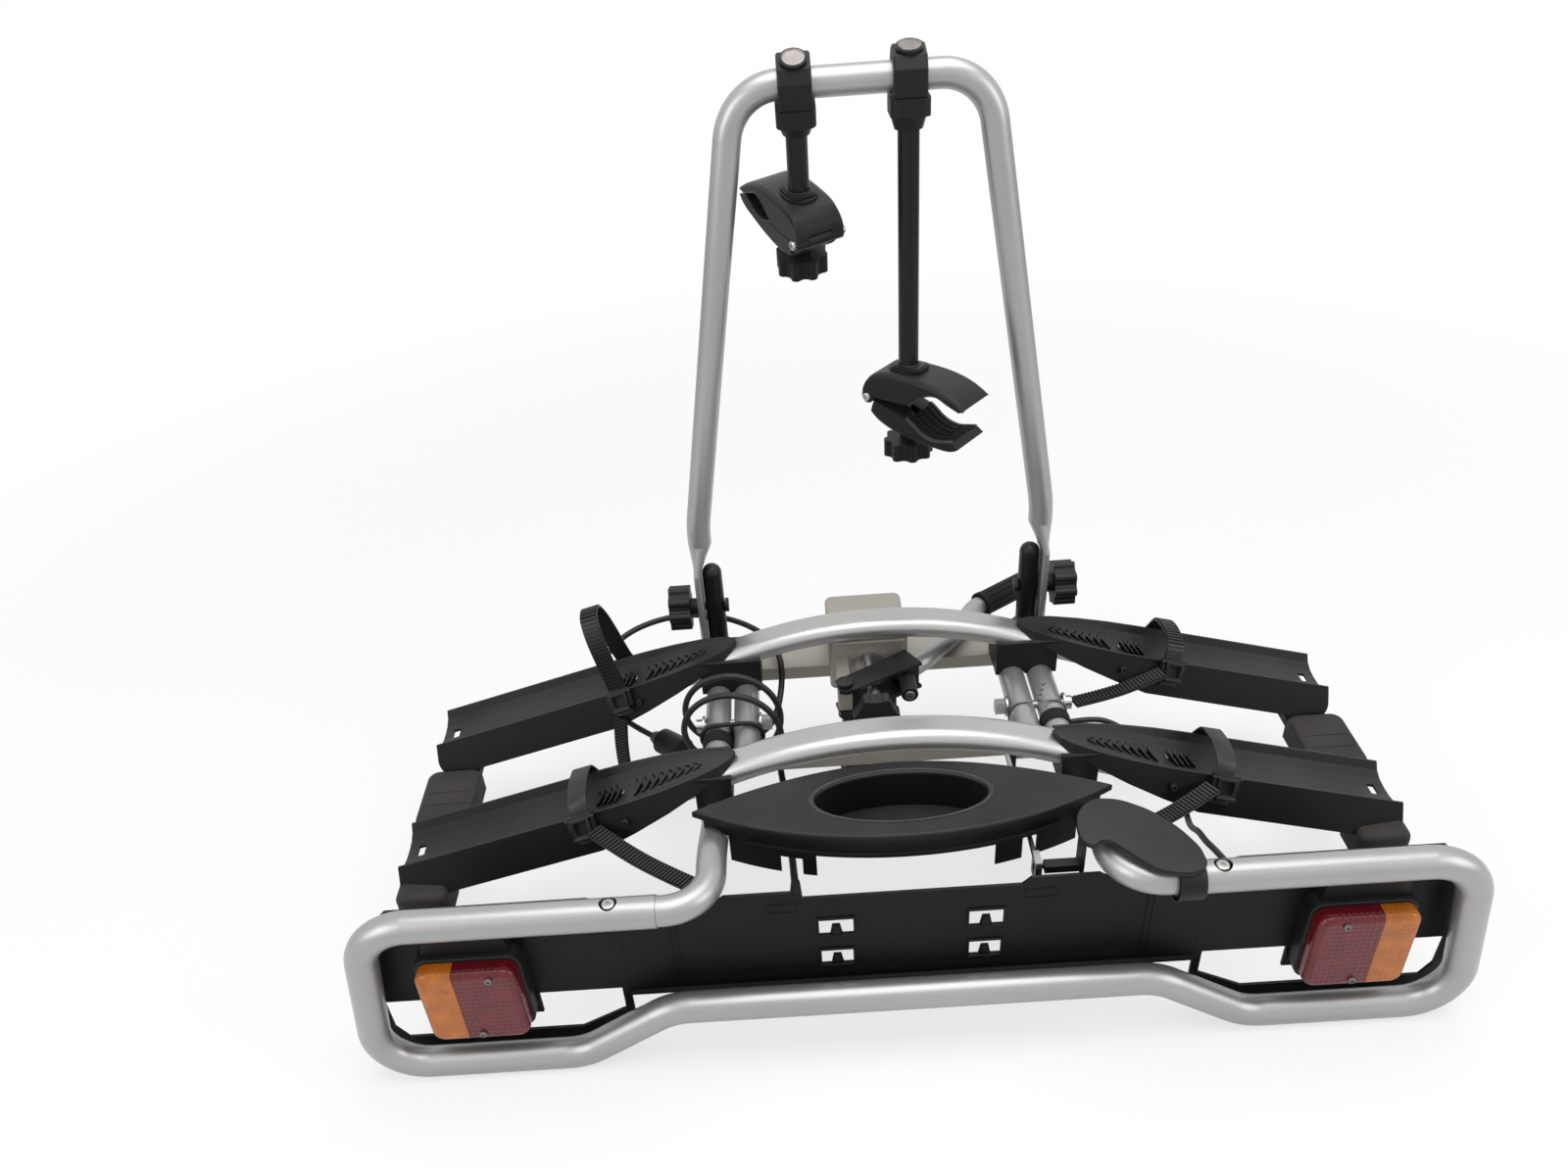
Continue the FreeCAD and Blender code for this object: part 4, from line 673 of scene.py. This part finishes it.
body = cube("buckle_body", (28, 6, 21), (0, 3, 0))
pick(body, lambda p, n: n.y > 0.9)
raised(mm(3.2), mm(2.2), (0, -1, 0))
pick(body, lambda p, n: abs(n.x) > 0.9 and abs(p.x) > mm(13))
raised(mm(1.4), mm(1.0), (0, 0, 0))
round_off(body, lambda p, d: max(abs(p.x) - mm(13.9), abs(p.z) - mm(10.4)) > 0 and p.y > mm(5.9), 1.0)
leave()
rivet = cylinder("buckle_rivet", 20, 2.1, 31, (0, 4.6, 6.5), (0, math.pi / 2, 0))
pick(rivet, lambda p, n: abs(n.x) > 0.9)
bpy.ops.mesh.inset(thickness=mm(0.6))
round_off(rivet, lambda p, d: abs(p.x) > mm(15) and abs(d.x) < 0.1, 0.4)
leave()
body = joined([body, rivet], "buckle_body")
bodies = [twin(body, "buckle_body_" + key, buckle_place(key, -4.5, 3.6)) for key in strap_spots]
drop(body)
dress(joined(bodies, "buckle_bodies"), moulded_black, "platform", stands_for=["strap_buckles"])

bpy.ops.mesh.primitive_plane_add(size=1, rotation=(math.pi / 2, 0, 0))
lever = shaped("buckle_lever", (mm(20), mm(20), 1))
pick(lever, lambda p, n: True)
bpy.ops.mesh.inset(thickness=mm(3.6))
bpy.ops.mesh.delete(type="FACE")
leave()
thickened(lever, 3, 0.8)
set_in(lever, Matrix.Translation((0, mm(1.5), mm(-1))))
barrel = cylinder("lever_barrel", 20, 2.5, 20, (0, 2.5, -11), (0, math.pi / 2, 0))
modified(barrel, "BEVEL", width=mm(0.5), segments=2, limit_method="ANGLE")
lever = joined([lever, barrel], "buckle_lever")
for key in strap_spots:
    piece = twin(lever, "lever_" + key, buckle_place(key, -3, 10.0))
    short = "".join(w[0] for w in key.split("_"))
    dress(piece, moulded_black, "buckle_" + short, stands_for=["buckle_" + key])
drop(lever)

# %% [markdown]
# ## Ribs in the noses of the trays
# In the nose of each tray a row of V-shaped ribs keeps the tyre from sliding. They grow taller
# away from the tip as the trough gets deeper. A wider gap before the last four leaves room for a screw.
# One rib is a cube whose long edges are cut three times, with the middle pulled towards the tip.

# %% Nose ribs
LOW_RIBS, RIB_OUT, RIB_STEP = 8, 44, 9.2
HIGH_RIBS, HIGH_OUT, HIGH_STEP = 4, 130, 6.5


def trough_depth(out):
    return 13.0 * min(out / 150 + 0.04, 1.0)


bpy.ops.mesh.primitive_cube_add(size=1, location=(0, 0, 0.5), scale=(mm(1.8), 2, 1))
rib = shaped("nose_rib")
pick(rib, lambda p, d: abs(d.y) > 0.9, "EDGE")
bpy.ops.mesh.subdivide(number_cuts=3)
for inner, outer, above, move in (
        (-1, 0.1, -1, (-mm(7), 0, 0)), (0.1, 0.9, -1, (-mm(4.4), 0, 0)),
        (0.9, 2, 0.9, (0, 0, -0.45)), (0.1, 0.9, 0.9, (0, 0, -0.12))):
    pick(rib, lambda p, n: inner < abs(p.y) < outer and p.z > above, "VERT")
    bpy.ops.transform.translate(value=move)
leave()
ribs = [(RIB_OUT + k * RIB_STEP, 5.5 + k, 0.55) for k in range(LOW_RIBS)]
ribs += [(HIGH_OUT + k * HIGH_STEP, 13 - k, 0.6) for k in range(HIGH_RIBS)]
for key, (side, y) in TRAYS.items():
    row = []
    for out, wide, share in ribs:
        deep = trough_depth(out)
        tall = deep * share
        place = tray_place(side, y, out, -deep - 0.3)
        row.append(twin(rib, "rib", place @ Matrix.Diagonal((1, mm(wide), mm(tall + 0.3), 1))))
    dress(joined(row, "nose_ribs_" + key), tray_black, "platform", smooth=30)
drop(rib)
print("ribs on", len(TRAYS), "trays")

# %% [markdown]
# ## Screws
# The picture shows socket-head screws. One is modelled from a cylinder: its rim is bevelled, its
# top inset and the middle pushed down into a round socket. It points along +Z and is copied,
# with its own mesh, to its places on the bar, the lamps, the trays, the claws and the lever.

# %% One socket screw, and the places of its copies
def socket_screw(name, radius, height, socket):
    head = cylinder(name, 24, radius, height, (0, 0, height / 2))
    round_off(head, lambda p, d: p.z > mm(height) * 0.95 and abs(d.z) < 0.1, radius * 0.28, 3)
    pick(head, lambda p, n: n.z > 0.99)
    bpy.ops.mesh.inset(thickness=mm(radius * 0.72 - socket))
    pushed((0, 0, -mm(height * 0.45)))
    bpy.ops.mesh.inset(thickness=mm(socket * 0.3))
    leave()
    return head


def screws(name, head, places, material, body):
    dress(joined([twin(head, name, place) for place in places], name), material, body)


big_head = socket_screw("big_head", 6.2, 4.0, 2.6)
small_head = socket_screw("small_head", 3.6, 2.4, 1.5)
up_dir, front_dir = (0, 0, 1), (0, -1, 0)
BAR_SCREW_X, BAR_TOP, NOSE_SCREW = 267, 10.2, 124
SKIRT_SCREW_X, SKIRT_SCREW_Y, SKIRT_SCREW_Z = 266, -41.2, 186
LAMP_X, LAMP_Z, LAMP_BACK_Y = 362, 56, -302.6


def facing(x, y, z, look):
    """Place for a screw whose head looks along a direction."""
    side_dir = Vector((1, 0, 0)) if abs(look[0]) < 0.9 else Vector((0, 1, 0))
    return axes(at(x, y, z), side_dir, look)


bar_places = [facing(s * BAR_SCREW_X, BAR_Y, BAR_Z + BAR_TOP, up_dir) for s in (-1, 1)]
screws("bar_screws", big_head, bar_places, bright_zinc, "platform")
lamp_places = [facing(s * (LAMP_X + dx), LAMP_BACK_Y, LAMP_Z + dz, front_dir) for s in (-1, 1)
               for dx, dz in ((24, 84), (44, 10))]
screws("lamp_screws", small_head, lamp_places, dull_zinc, "platform")
nose_places = [tray_place(side, y, NOSE_SCREW, -trough_depth(NOSE_SCREW) - 0.3) for side, y in TRAYS.values()]
screws("nose_screws", small_head, nose_places, dull_zinc, "platform")
skirt_places = []
for side, y in TRAYS.values():
    up = Vector((side * math.sin(TRAY_SLOPE), 0, math.cos(TRAY_SLOPE)))
    out = (Vector((0, -1, 0)) + up * SKIRT_LEAN).normalized()
    place = axes(at(side * SKIRT_SCREW_X, y + SKIRT_SCREW_Y, SKIRT_SCREW_Z), (1, 0, 0), out)
    skirt_places.append(place @ Matrix.Diagonal((1, 1, 3.0, 1)))
screws("skirt_screws", small_head, skirt_places, powder_black, "platform")
drop(big_head, small_head)
print("screws", len(bar_places) + len(lamp_places) + len(nose_places) + len(skirt_places))

# %% [markdown]
# ## Claws and arm heads
# Each claw is drawn with its hinge pin across it, so its fittings are modelled on the same axes and
# set in with the claw's own place: a turn about its arm, a lean for the short arm and the opening of
# the jaw. The open jaw shows a rubber pad with crossed ribs between two raised rims.

# %% Pads and rims of the claws
HINGE_X = -33.6
CRADLE = [(13, -1), (21, -3), (30, -6.5), (41, -8.5), (54, -6.5), (64, -1), (72, 3.5)]
ARCH = [(14, 0), (22, 6), (34, 14.5), (48, 17), (60, 12), (76, 6)]
CLAWS = {"short": (-58.0, 641.5, 116.0, 13.0, 0.0), "long": (43.0, 475.0, -39.5, 0.0, 18.0)}


LYRE_PIVOT = Matrix.Translation((0, LYRE_Y, LYRE_TOP_Z))


def claw_frame(key, jaw=False):
    x, z, turn, lean, opened = CLAWS[key]
    place = Matrix.Translation((x, LYRE_Y, z)) @ Matrix.Rotation(math.radians(turn), 4, "Z")
    place = LYRE_PIVOT @ Matrix.Rotation(math.radians(lean), 4, "X") @ LYRE_PIVOT.inverted() @ place
    if jaw:
        hinge = Matrix.Translation((HINGE_X, 0, 0))
        place = place @ hinge @ Matrix.Rotation(math.radians(opened), 4, "Y") @ hinge.inverted()
    return Matrix.Translation(at(*place.translation)) @ place.to_3x3().to_4x4()


def height_on(line, x):
    """Height of a smooth line through the points at x."""
    for k in range(len(line) - 1):
        (x0, z0), (x1, z1) = line[k], line[k + 1]
        if x <= x1 or k == len(line) - 2:
            t = (x - x0) / (x1 - x0)
            before = line[max(k - 1, 0)]
            after = line[min(k + 2, len(line) - 1)]
            m0 = (z1 - before[1]) / (x1 - before[0]) * (x1 - x0)
            m1 = (after[1] - z0) / (after[0] - x0) * (x1 - x0)
            return ((2 * t ** 3 - 3 * t ** 2 + 1) * z0 + (t ** 3 - 2 * t ** 2 + t) * m0
                    + (3 * t ** 2 - 2 * t ** 3) * z1 + (t ** 3 - t ** 2) * m1)


def strip_on(line, x0, x1, y, width, lift, thick, columns=14):
    """A strip that follows the line: a grid whose columns are moved up one by one."""
    bpy.ops.mesh.primitive_grid_add(x_subdivisions=columns, y_subdivisions=1, size=1,
                                    location=(mm((x0 + x1) / 2), mm(y), 0))
    strip = shaped("strip", (mm(x1 - x0), mm(width), 1))
    for k in range(columns + 1):
        x = x0 + (x1 - x0) * k / columns
        pick(strip, lambda p, n, x=x: abs(p.x - mm(x)) < 1e-5, "VERT")
        bpy.ops.transform.translate(value=(0, 0, mm(height_on(line, x) + lift)))
        leave()
    return thickened(strip, thick, min(0.5, thick * 0.3))


def cross_rib(line, x, width, lift, tall):
    slope = math.atan2(height_on(line, x + 1) - height_on(line, x - 1), 2)
    bar = cube("cross_rib", (1.3, width, tall), (x, 0, height_on(line, x) + lift), (0, -slope, 0))
    round_off(bar, lambda p, d: abs(d.y) > 0.9, 0.35)
    leave()
    return bar


pad = [strip_on(CRADLE, 16, 70, 0, 41, 0.5, 1.4)]
pad += [strip_on(CRADLE, 17, 69, y, 1.3, 1.6, 2.2) for y in (-13, -4.5, 4.5, 13)]
pad += [cross_rib(CRADLE, x, 40, 1.5, 2.4) for x in (22, 33, 44, 55, 65)]
pad = joined(pad, "jaw_pad")
rim = joined([strip_on(CRADLE, 14, 71.5, y, 3.4, 1.0, 3.0) for y in (-22.8, 22.8)], "jaw_rim")
lip = joined([strip_on(ARCH, 15, 75, y, 2.6, -0.9, 2.2) for y in (-23.2, 23.2)], "arch_lip")
# Painted highlight: a grey a few times lighter than the black mouldings, laid on raised rims and lips to stand for the
# light they catch on their edges.
painted_highlight_edge = finish("painted_highlight_edge", (0.034, 0.034, 0.032), rough=0.42, patch=(40, 0.3), grain=(1500, 0.2), spec=0.4)
# Jaw rims and arch lips take the painted highlight grey.
for key in CLAWS:
    dress(twin(pad, "jaw_pad_" + key, claw_frame(key, True)), soft_rubber, key + "_jaw")
    dress(twin(rim, "jaw_rim_" + key, claw_frame(key, True)), painted_highlight_edge, key + "_jaw")
    dress(twin(lip, "arch_lip_" + key, claw_frame(key)), painted_highlight_edge, key + "_claw_body")
drop(pad, rim, lip)
print("pads on", len(CLAWS), "claws")

# %% Hinge screws, neck plates and head discs
hinge_head = socket_screw("hinge_head", 4.4, 3.8, 1.8)
for key in CLAWS:
    places = []
    for side in (-1, 1):
        turn = Matrix.Rotation(-side * math.pi / 2, 4, "X")
        places.append(claw_frame(key) @ Matrix.Translation((mm(HINGE_X), mm(side * 25.0), 0)) @ turn)
    screws("hinge_screws_" + key, hinge_head, places, bright_zinc, key + "_claw_body")
drop(hinge_head)

plate = cube("neck_plate", (35, 27, 2.4), (2, 0, 30.6))
round_off(plate, lambda p, d: abs(d.z) > 0.9, 7, 4)
pick(plate, lambda p, n: n.z > 0.9)
raised(mm(2.2), mm(1.0), (0, 0, 1))
round_off(plate, lambda p, d: p.z > mm(32.5) and abs(d.z) < 0.1, 0.4)
leave()
ring = torus("neck_ring", 40, 10.9, 1.0, 33.2)
pick(ring, lambda p, n: p.z > mm(33.2), "VERT")
bpy.ops.transform.resize(value=(0.97, 0.97, 1), center_override=(0, 0, mm(33.2)))
leave()
plate = joined([plate, ring], "neck_plate")
for key in CLAWS:
    dress(twin(plate, "neck_plate_" + key, claw_frame(key)), moulded_black, key + "_claw_body")
drop(plate)


HEAD_FACE_Y, HEAD_FACE_Z, HEAD_LIFT = 144, 790, 73.8


def head_frame(key):
    """Place on the sloping face of an arm head: Z looks out of the face."""
    x, lean = CLAWS[key][0], math.radians(CLAWS[key][3])
    lift = math.radians(HEAD_LIFT)
    swing = LYRE_PIVOT @ Matrix.Rotation(lean, 4, "X") @ LYRE_PIVOT.inverted()
    foot = swing @ Vector((x, HEAD_FACE_Y, HEAD_FACE_Z))
    out = swing.to_3x3() @ Vector((0, -math.cos(lift), math.sin(lift)))
    return axes(at(*foot), (1, 0, 0), out)


disc = cylinder("head_disc", 48, 10.2, 3.6, (0, 0, 5.4))
round_off(disc, lambda p, d: p.z > mm(7.1) and abs(d.z) < 0.1, 0.5, 3)
pick(disc, lambda p, n: n.z > 0.99)
bpy.ops.mesh.inset(thickness=mm(1.0))
pushed((0, 0, -mm(0.4)))
leave()
collar_ring = torus("disc_ring", 48, 11.1, 1.2, 5.6)
pick(collar_ring, lambda p, n: p.z < mm(5.6), "VERT")
bpy.ops.transform.translate(value=(0, 0, -mm(1.4)))
leave()
for key in CLAWS:
    dress(twin(disc, "head_disc_" + key, head_frame(key)), pearl_disc, key + "_arm")
    dress(twin(collar_ring, "disc_ring_" + key, head_frame(key)), powder_black, key + "_arm")
drop(disc, collar_ring)
print("heads dressed", list(CLAWS))

# %% [markdown]
# ## Board and lamps
# The number plate board has four clip windows, each with a moulded frame and a tongue, and two shallow
# marks near its top. A frame is a plane, inset, its middle deleted, then given thickness and soft edges.
# The lamp lenses are moulded in small squares, which two crossed wave patterns put into their finish.

# %% Frames and tongues on the board
def frame_piece(name, width, height, border, thick):
    bpy.ops.mesh.primitive_plane_add(size=1, rotation=(math.pi / 2, 0, 0))
    piece = shaped(name, (mm(width), mm(height), 1))
    pick(piece, lambda p, n: True)
    bpy.ops.mesh.inset(thickness=mm(border))
    bpy.ops.mesh.delete(type="FACE")
    leave()
    return thickened(piece, thick, thick * 0.25)


def tongue_piece(width, height):
    piece = cube("tongue", (width, 2.4, height))
    pick(piece, lambda p, n: n.z > 0.9)
    bpy.ops.transform.resize(value=(0.6, 1, 1))
    pick(piece, lambda p, n: n.y < -0.9)
    raised(mm(1.2), mm(1.2), (0, -1, 0))
    round_off(piece, lambda p, d: p.y < -mm(1.3), 0.4)
    leave()
    return piece


window_frame = frame_piece("window_frame", 36, 25, 2.2, 2.0)
clip_frame = frame_piece("clip_frame", 34, 24, 2.2, 2.0)
mark_frame = frame_piece("mark_frame", 30, 12, 1.0, 0.8)
tongue = tongue_piece(12, 13)
BOARD_PARTS = (
    (window_frame, 69, -0.9, 144.5), (clip_frame, 69, -0.9, 104), (mark_frame, 118, -0.3, 172),
    (tongue, 69, 1.4, 140), (tongue, 69, 1.4, 100))
parts = [twin(piece, "board_part", Matrix.Translation(at(side * x, BOARD_Y + y, z))) for side in (-1, 1)
         for piece, x, y, z in BOARD_PARTS]
dress(joined(parts, "board_frames"), board_black, "platform")
drop(window_frame, clip_frame, mark_frame, tongue)

seam = cube("seam_bead", (1.2, 1.0, 86))
round_off(seam, lambda p, d: abs(d.z) > 0.9 and p.y < 0, 0.4)
leave()
beads = [twin(seam, "seam_bead", Matrix.Translation(at(side * x, BOARD_Y - 0.4, 118))) for side in (-1, 1)
         for x in (216, 222)]
drop(seam)
dress(joined(beads, "board_seams"), board_black, "platform")
print("board pieces", len(parts) + len(beads))


# %% Moulded squares in the lenses
def add_squares(material, period, depth):
    """Two crossed waves in Object coordinates, added under the finish's own grain."""
    tree = material.node_tree
    coords = next(n for n in tree.nodes if n.type == "TEX_COORD")
    grain = next(n for n in tree.nodes if n.type == "BUMP")
    total = add_node(tree, "Math", "MAXIMUM")
    for slot, direction in enumerate(("X", "Z")):
        wave = add_node(tree, "TexWave", Scale=0.314 / period, Distortion=0)
        wave.bands_direction = direction
        tree.links.new(coords.outputs["Object"], wave.inputs["Vector"])
        tree.links.new(wave.outputs["Fac"], total.inputs[slot])
    squares = add_node(tree, "Bump", Strength=0.8, Distance=depth)
    tree.links.new(total.outputs[0], squares.inputs["Height"])
    tree.links.new(squares.outputs[0], grain.inputs["Normal"])


for material in (lens_red, lens_amber):
    add_squares(material, 0.0055, 0.0005)
print("lens finishes", lens_red.name, lens_amber.name)

# %% [markdown]
# ## Soft-edged mouldings
# Three shapes that the picture shows softer than their packed blocks: the raised rim round the
# pocket of the cover, the caps on the grey links between the trays, and the feet under the front trays.

# %% Pocket rim, link caps and feet
RIM_LONG, RIM_SHORT, RIM_PLACE = 84.6, 36.0, (0, -181, 223.0)
CAP_PLACE, FOOT_PLACE = (483.5, -15, 110), (481, -153, 106)

pocket_rim = torus("pocket_rim", 96, RIM_LONG, 2.6, scale=(1, RIM_SHORT / RIM_LONG, 0.55), rows=12)
pick(pocket_rim, lambda p, n: p.z < -mm(0.5), "VERT")
bpy.ops.transform.translate(value=(0, 0, -mm(1.2)))
leave()
set_in(pocket_rim, Matrix.Translation(at(*RIM_PLACE)))
# The pocket rim takes the painted highlight grey for the ring of light round the pocket.
dress(pocket_rim, painted_highlight_edge, "platform")


def soft_box(name, width, depth, height, corner, edge, ridges=()):
    """A box with rounded upright corners, a soft top edge and long ridges on its top."""
    box = cube(name, (width, depth, height))
    round_off(box, lambda p, d: abs(d.z) > 0.9, corner, 5)
    round_off(box, lambda p, d: p.z > mm(height / 2) * 0.99 and abs(d.z) < 0.1, edge, 5)
    leave()
    pieces = [box]
    for y in ridges:
        ridge = cube("ridge", (width - 14, 1.4, 1.4), (0, y, height / 2))
        round_off(ridge, lambda p, d: p.z > mm(height / 2) and abs(d.x) > 0.9, 0.6)
        leave()
        pieces.append(ridge)
    return joined(pieces, name)


cap = soft_box("link_cap", 61, 90, 12, 13, 5, ridges=(-14, 6))
foot = soft_box("link_foot", 54, 46, 30, 10, 9, ridges=(4,))
caps, feet = [
    [twin(piece, piece.name, Matrix.Translation(at(s * x, y, z))) for s in (-1, 1)]
    for piece, (x, y, z) in ((cap, CAP_PLACE), (foot, FOOT_PLACE))]
drop(cap, foot)
dress(joined(caps + feet, "link_mouldings"), grey_moulding, "platform")
print("mouldings", 1 + len(caps) + len(feet))

# %% [markdown]
# ## Lever, lock and sleeves
# The lever's grip is soft, so it is modelled again: a cylinder with every third long face pushed in,
# a collar at its start and a rounded end. The lock on the lever and the sleeves on the outer tubes
# start from cylinders too.

# %% Grip, lock and sleeves
CORNER, GRIP_END, GRIP_START = Vector((124, 176, 190)), Vector((190, 223, 190)), 9
LOCK, SLEEVE_Y = (30, 16.0, 190), -30
grip_dir = (GRIP_END - CORNER).normalized()
grip_len = (GRIP_END - CORNER).length - GRIP_START
grip_place = axes(at(*(CORNER + grip_dir * GRIP_START)), (0, 0, 1), grip_dir)
grip = cylinder("lever_grip_soft", 36, 14.6, grip_len, (0, 0, grip_len / 2))
pick(grip, lambda p, n: abs(n.z) < 0.1 and round(math.degrees(math.atan2(n.y, n.x)) / 10 - 0.5) % 3 == 0)
bpy.ops.mesh.inset(thickness=mm(0.7), use_individual=True)
bpy.ops.transform.resize(value=(0.93, 0.93, 0.86), center_override=(0, 0, mm(grip_len / 2)))
pick(grip, lambda p, n: n.z > 0.99 and p.z > mm(grip_len) * 0.99)
for step, grow in ((5.0, 0.86), (3.2, 0.72), (1.2, 0.55)):
    pushed((0, 0, mm(step)))
    bpy.ops.transform.resize(value=(grow, grow, 1))
bpy.ops.transform.translate(value=(0, 0, -mm(0.1)))
leave()
cuff = cylinder("grip_cuff", 48, 15.3, 7, (0, 0, 3.5))
pick(cuff, lambda p, n: abs(n.z) > 0.99)
bpy.ops.mesh.inset(thickness=mm(1.0))
round_off(cuff, lambda p, d: abs(d.z) < 0.1 and Vector((p.x, p.y)).length > mm(15.0), 0.8, 3)
leave()
grip = joined([grip, cuff], "lever_grip_soft")
set_in(grip, grip_place)
dress(grip, soft_rubber, "lever", stands_for=["lever_grip"])

lock_head = socket_screw("lock_head", 5.6, 3.0, 3.0)
lock_place = facing(*LOCK, front_dir)
screws("lock_core", lock_head, [lock_place], dull_zinc, "lever")
drop(lock_head)
rim = set_in(torus("lock_rim", 40, 8.0, 1.3), lock_place)
dress(rim, powder_black, "lever")


def sleeve(name, radius, length, wall, turns):
    """Rubber sleeve with raised rings, its axis along Y."""
    piece = cylinder(name, 48, radius, length, turn=(math.pi / 2, 0, 0), ends="NOTHING")
    pick(piece, lambda p, d: abs(d.y) > 0.9, "EDGE")
    bpy.ops.mesh.subdivide(number_cuts=turns)
    for k in range(1, turns + 1, 2):
        y = -length / 2 + length * k / (turns + 1)
        pick(piece, lambda p, n, y=y: abs(p.y - mm(y)) < 1e-5, "VERT")
        bpy.ops.transform.resize(value=(1.035, 1, 1.035), center_override=(0, 0, 0))
    leave()
    return thickened(piece, wall, 0.4, offset=-1)


cuff = sleeve("tube_sleeve", 15.7, 16, 1.3, 7)
OUTER_TUBE_X = TUBE_PAIR_X + PAIR_HALF_GAP
sleeves = [twin(cuff, "tube_sleeve", Matrix.Translation(at(s * OUTER_TUBE_X, SLEEVE_Y, SIDE_TUBE_Z))) for s in (-1, 1)]
drop(cuff)
dress(joined(sleeves, "tube_sleeves"), soft_rubber, "platform", stands_for=["tube_collars"])
print("sleeves", len(sleeves))

# %% [markdown]
# ## Ties and the lamp lead
# A twisted wire ties the right pair of tubes together, and a black holder rings the left pair.
# Both are curves round two circles. The right lamp has its own thin lead, which leaves the side tube,
# passes under the front tray and goes into the light bar.

# %% Wire tie, ring holder and right lamp lead
TIE_Y, HOLDER_Y, TWIST_R = -11, -17, 1.6


def stadium_loop(centre_x, radius, y, count=28, tilt=0.0):
    """Points of a closed loop round two parallel tubes."""
    points = []
    for k in range(count):
        a = 2 * math.pi * k / count
        side = PAIR_HALF_GAP if math.cos(a) >= 0 else -PAIR_HALF_GAP
        points.append(at(centre_x + side + radius * math.cos(a), y + tilt * math.sin(a),
                         SIDE_TUBE_Z + radius * math.sin(a)))
    return points


def wire(name, points, radius, closed):
    only(thick(nurbs_curve(name, points, closed=closed, steps=4), mm(radius), 3))
    bpy.ops.object.convert(target="MESH")
    return started(name)


tie = wire("tube_tie", stadium_loop(TUBE_PAIR_X, 15.4, TIE_Y, tilt=2.0), 1.1, True)
twist = [at(TUBE_PAIR_X + TWIST_R * math.cos(k * 1.9) + k * 0.55, TIE_Y + TWIST_R * math.sin(k * 1.9) + k * 0.7,
            189 + k * 1.5) for k in range(14)]
tie = joined([tie, wire("tie_twist", twist, 1.1, False)], "tube_tie")
dress(tie, dull_zinc, "platform")
holder = wire("lead_holder", stadium_loop(-TUBE_PAIR_X, 17.3, HOLDER_Y), 2.6, True)
bar = [at(-TUBE_PAIR_X, HOLDER_Y, SIDE_TUBE_Z + s) for s in (-17, -8, 8, 17)]
holder = joined([holder, wire("holder_bar", bar, 2.4, False)], "lead_holder")
dress(holder, moulded_black, "platform")

LAMP_LEAD = [(193.5, -34, 178), (218, -36, 183), (240, -43, 178), (264, -52, 160), (282, -70, 148), (290, -102, 145),
             (288, -136, 146), (284, -162, 148), (280, -183, 158), (277, -206, 176), (274, -232, 188), (274, -254, 199),
             (275, -277, 207)]
lamp_route = [at(*p) for p in LAMP_LEAD]
lamp_lead = smooth_cord("right_lamp_lead", lamp_route, mm(3.0))

bpy.ops.mesh.primitive_cone_add(vertices=32, radius1=mm(6.2), radius2=mm(4.2), depth=mm(26))
boot = started("lead_boot")
round_off(boot, lambda p, d: abs(p.z) > mm(12.9) and abs(d.z) < 0.1, 0.5)
leave()
lead_dir = (lead_route[1] - lead_route[0]).normalized()
set_in(boot, axes(lead_route[0] - lead_dir * mm(2), (1, 0, 0), lead_dir))
dress(boot, soft_rubber, "platform")

# %% [markdown]
# ## Pedal pad and cuff
# The foot pedal is a smooth crescent that ends in a wide cuff round the light bar.
# The crescent is a flat closed curve with a rounded edge, made mesh and laid on the pedal's band.

# %% Pedal pad and cuff
PEDAL_RISE = math.radians(5)
PAD_OUTLINE = [(157, -268), (149.5, -243), (165, -217), (184, -214.5), (208, -225), (228, -243), (243, -265),
               (250, -285), (247, -300), (212, -301.5), (195, -287), (185, -275.5), (170, -263.5)]
PAD_THICK, PAD_EDGE, PAD_LIFT = 6.0, 1.6, 22.1
CUFF_X0, CUFF_X1, CUFF_OUT, CUFF_WALL = 226.4, 250.0, 19.8, 4.2

pad_data = bpy.data.curves.new("pedal_pad", "CURVE")
pad_data.dimensions = "2D"
pad_data.fill_mode = "BOTH"
pad_data.extrude = mm(PAD_THICK / 2 - PAD_EDGE)
pad_data.bevel_depth = mm(PAD_EDGE)
pad_data.bevel_resolution = 4
pad_data.offset = -mm(PAD_EDGE)
edge_line = pad_data.splines.new("BEZIER")
edge_line.bezier_points.add(len(PAD_OUTLINE) - 1)
for point, (x, y) in zip(edge_line.bezier_points, PAD_OUTLINE):
    point.co = (mm(x), mm(y - BAR_Y), 0)
    point.handle_left_type = point.handle_right_type = "AUTO"
edge_line.use_cyclic_u = True
edge_line.resolution_u = 10
pad = bpy.data.objects.new("pedal_pad", pad_data)
scene.collection.objects.link(pad)
only(pad)
bpy.ops.object.convert(target="MESH")
pad = started("pedal_pad")
pick(pad, lambda p, n: True, "VERT")
bpy.ops.mesh.remove_doubles(threshold=mm(0.02))
bpy.ops.mesh.normals_make_consistent(inside=False)
leave()
pad_up = Vector((0, -math.sin(PEDAL_RISE), math.cos(PEDAL_RISE)))
set_in(pad, axes(at(0, BAR_Y, BAR_Z) + mm(PAD_LIFT) * pad_up, (1, 0, 0), pad_up))

cuff = cylinder("pedal_cuff", 72, CUFF_OUT, CUFF_X1 - CUFF_X0, ends="NOTHING")
pick(cuff, lambda p, d: abs(d.z) > 0.9, "EDGE")
bpy.ops.mesh.subdivide(number_cuts=3)
leave()
thickened(cuff, CUFF_WALL, 1.2, offset=-1, segments=3)
set_in(cuff, axes(at((CUFF_X0 + CUFF_X1) / 2, BAR_Y, BAR_Z), (0, 1, 0), (1, 0, 0)))
dress(joined([pad, cuff], "pedal_pad"), moulded_black, "pedal")
print("pedal pad placed")
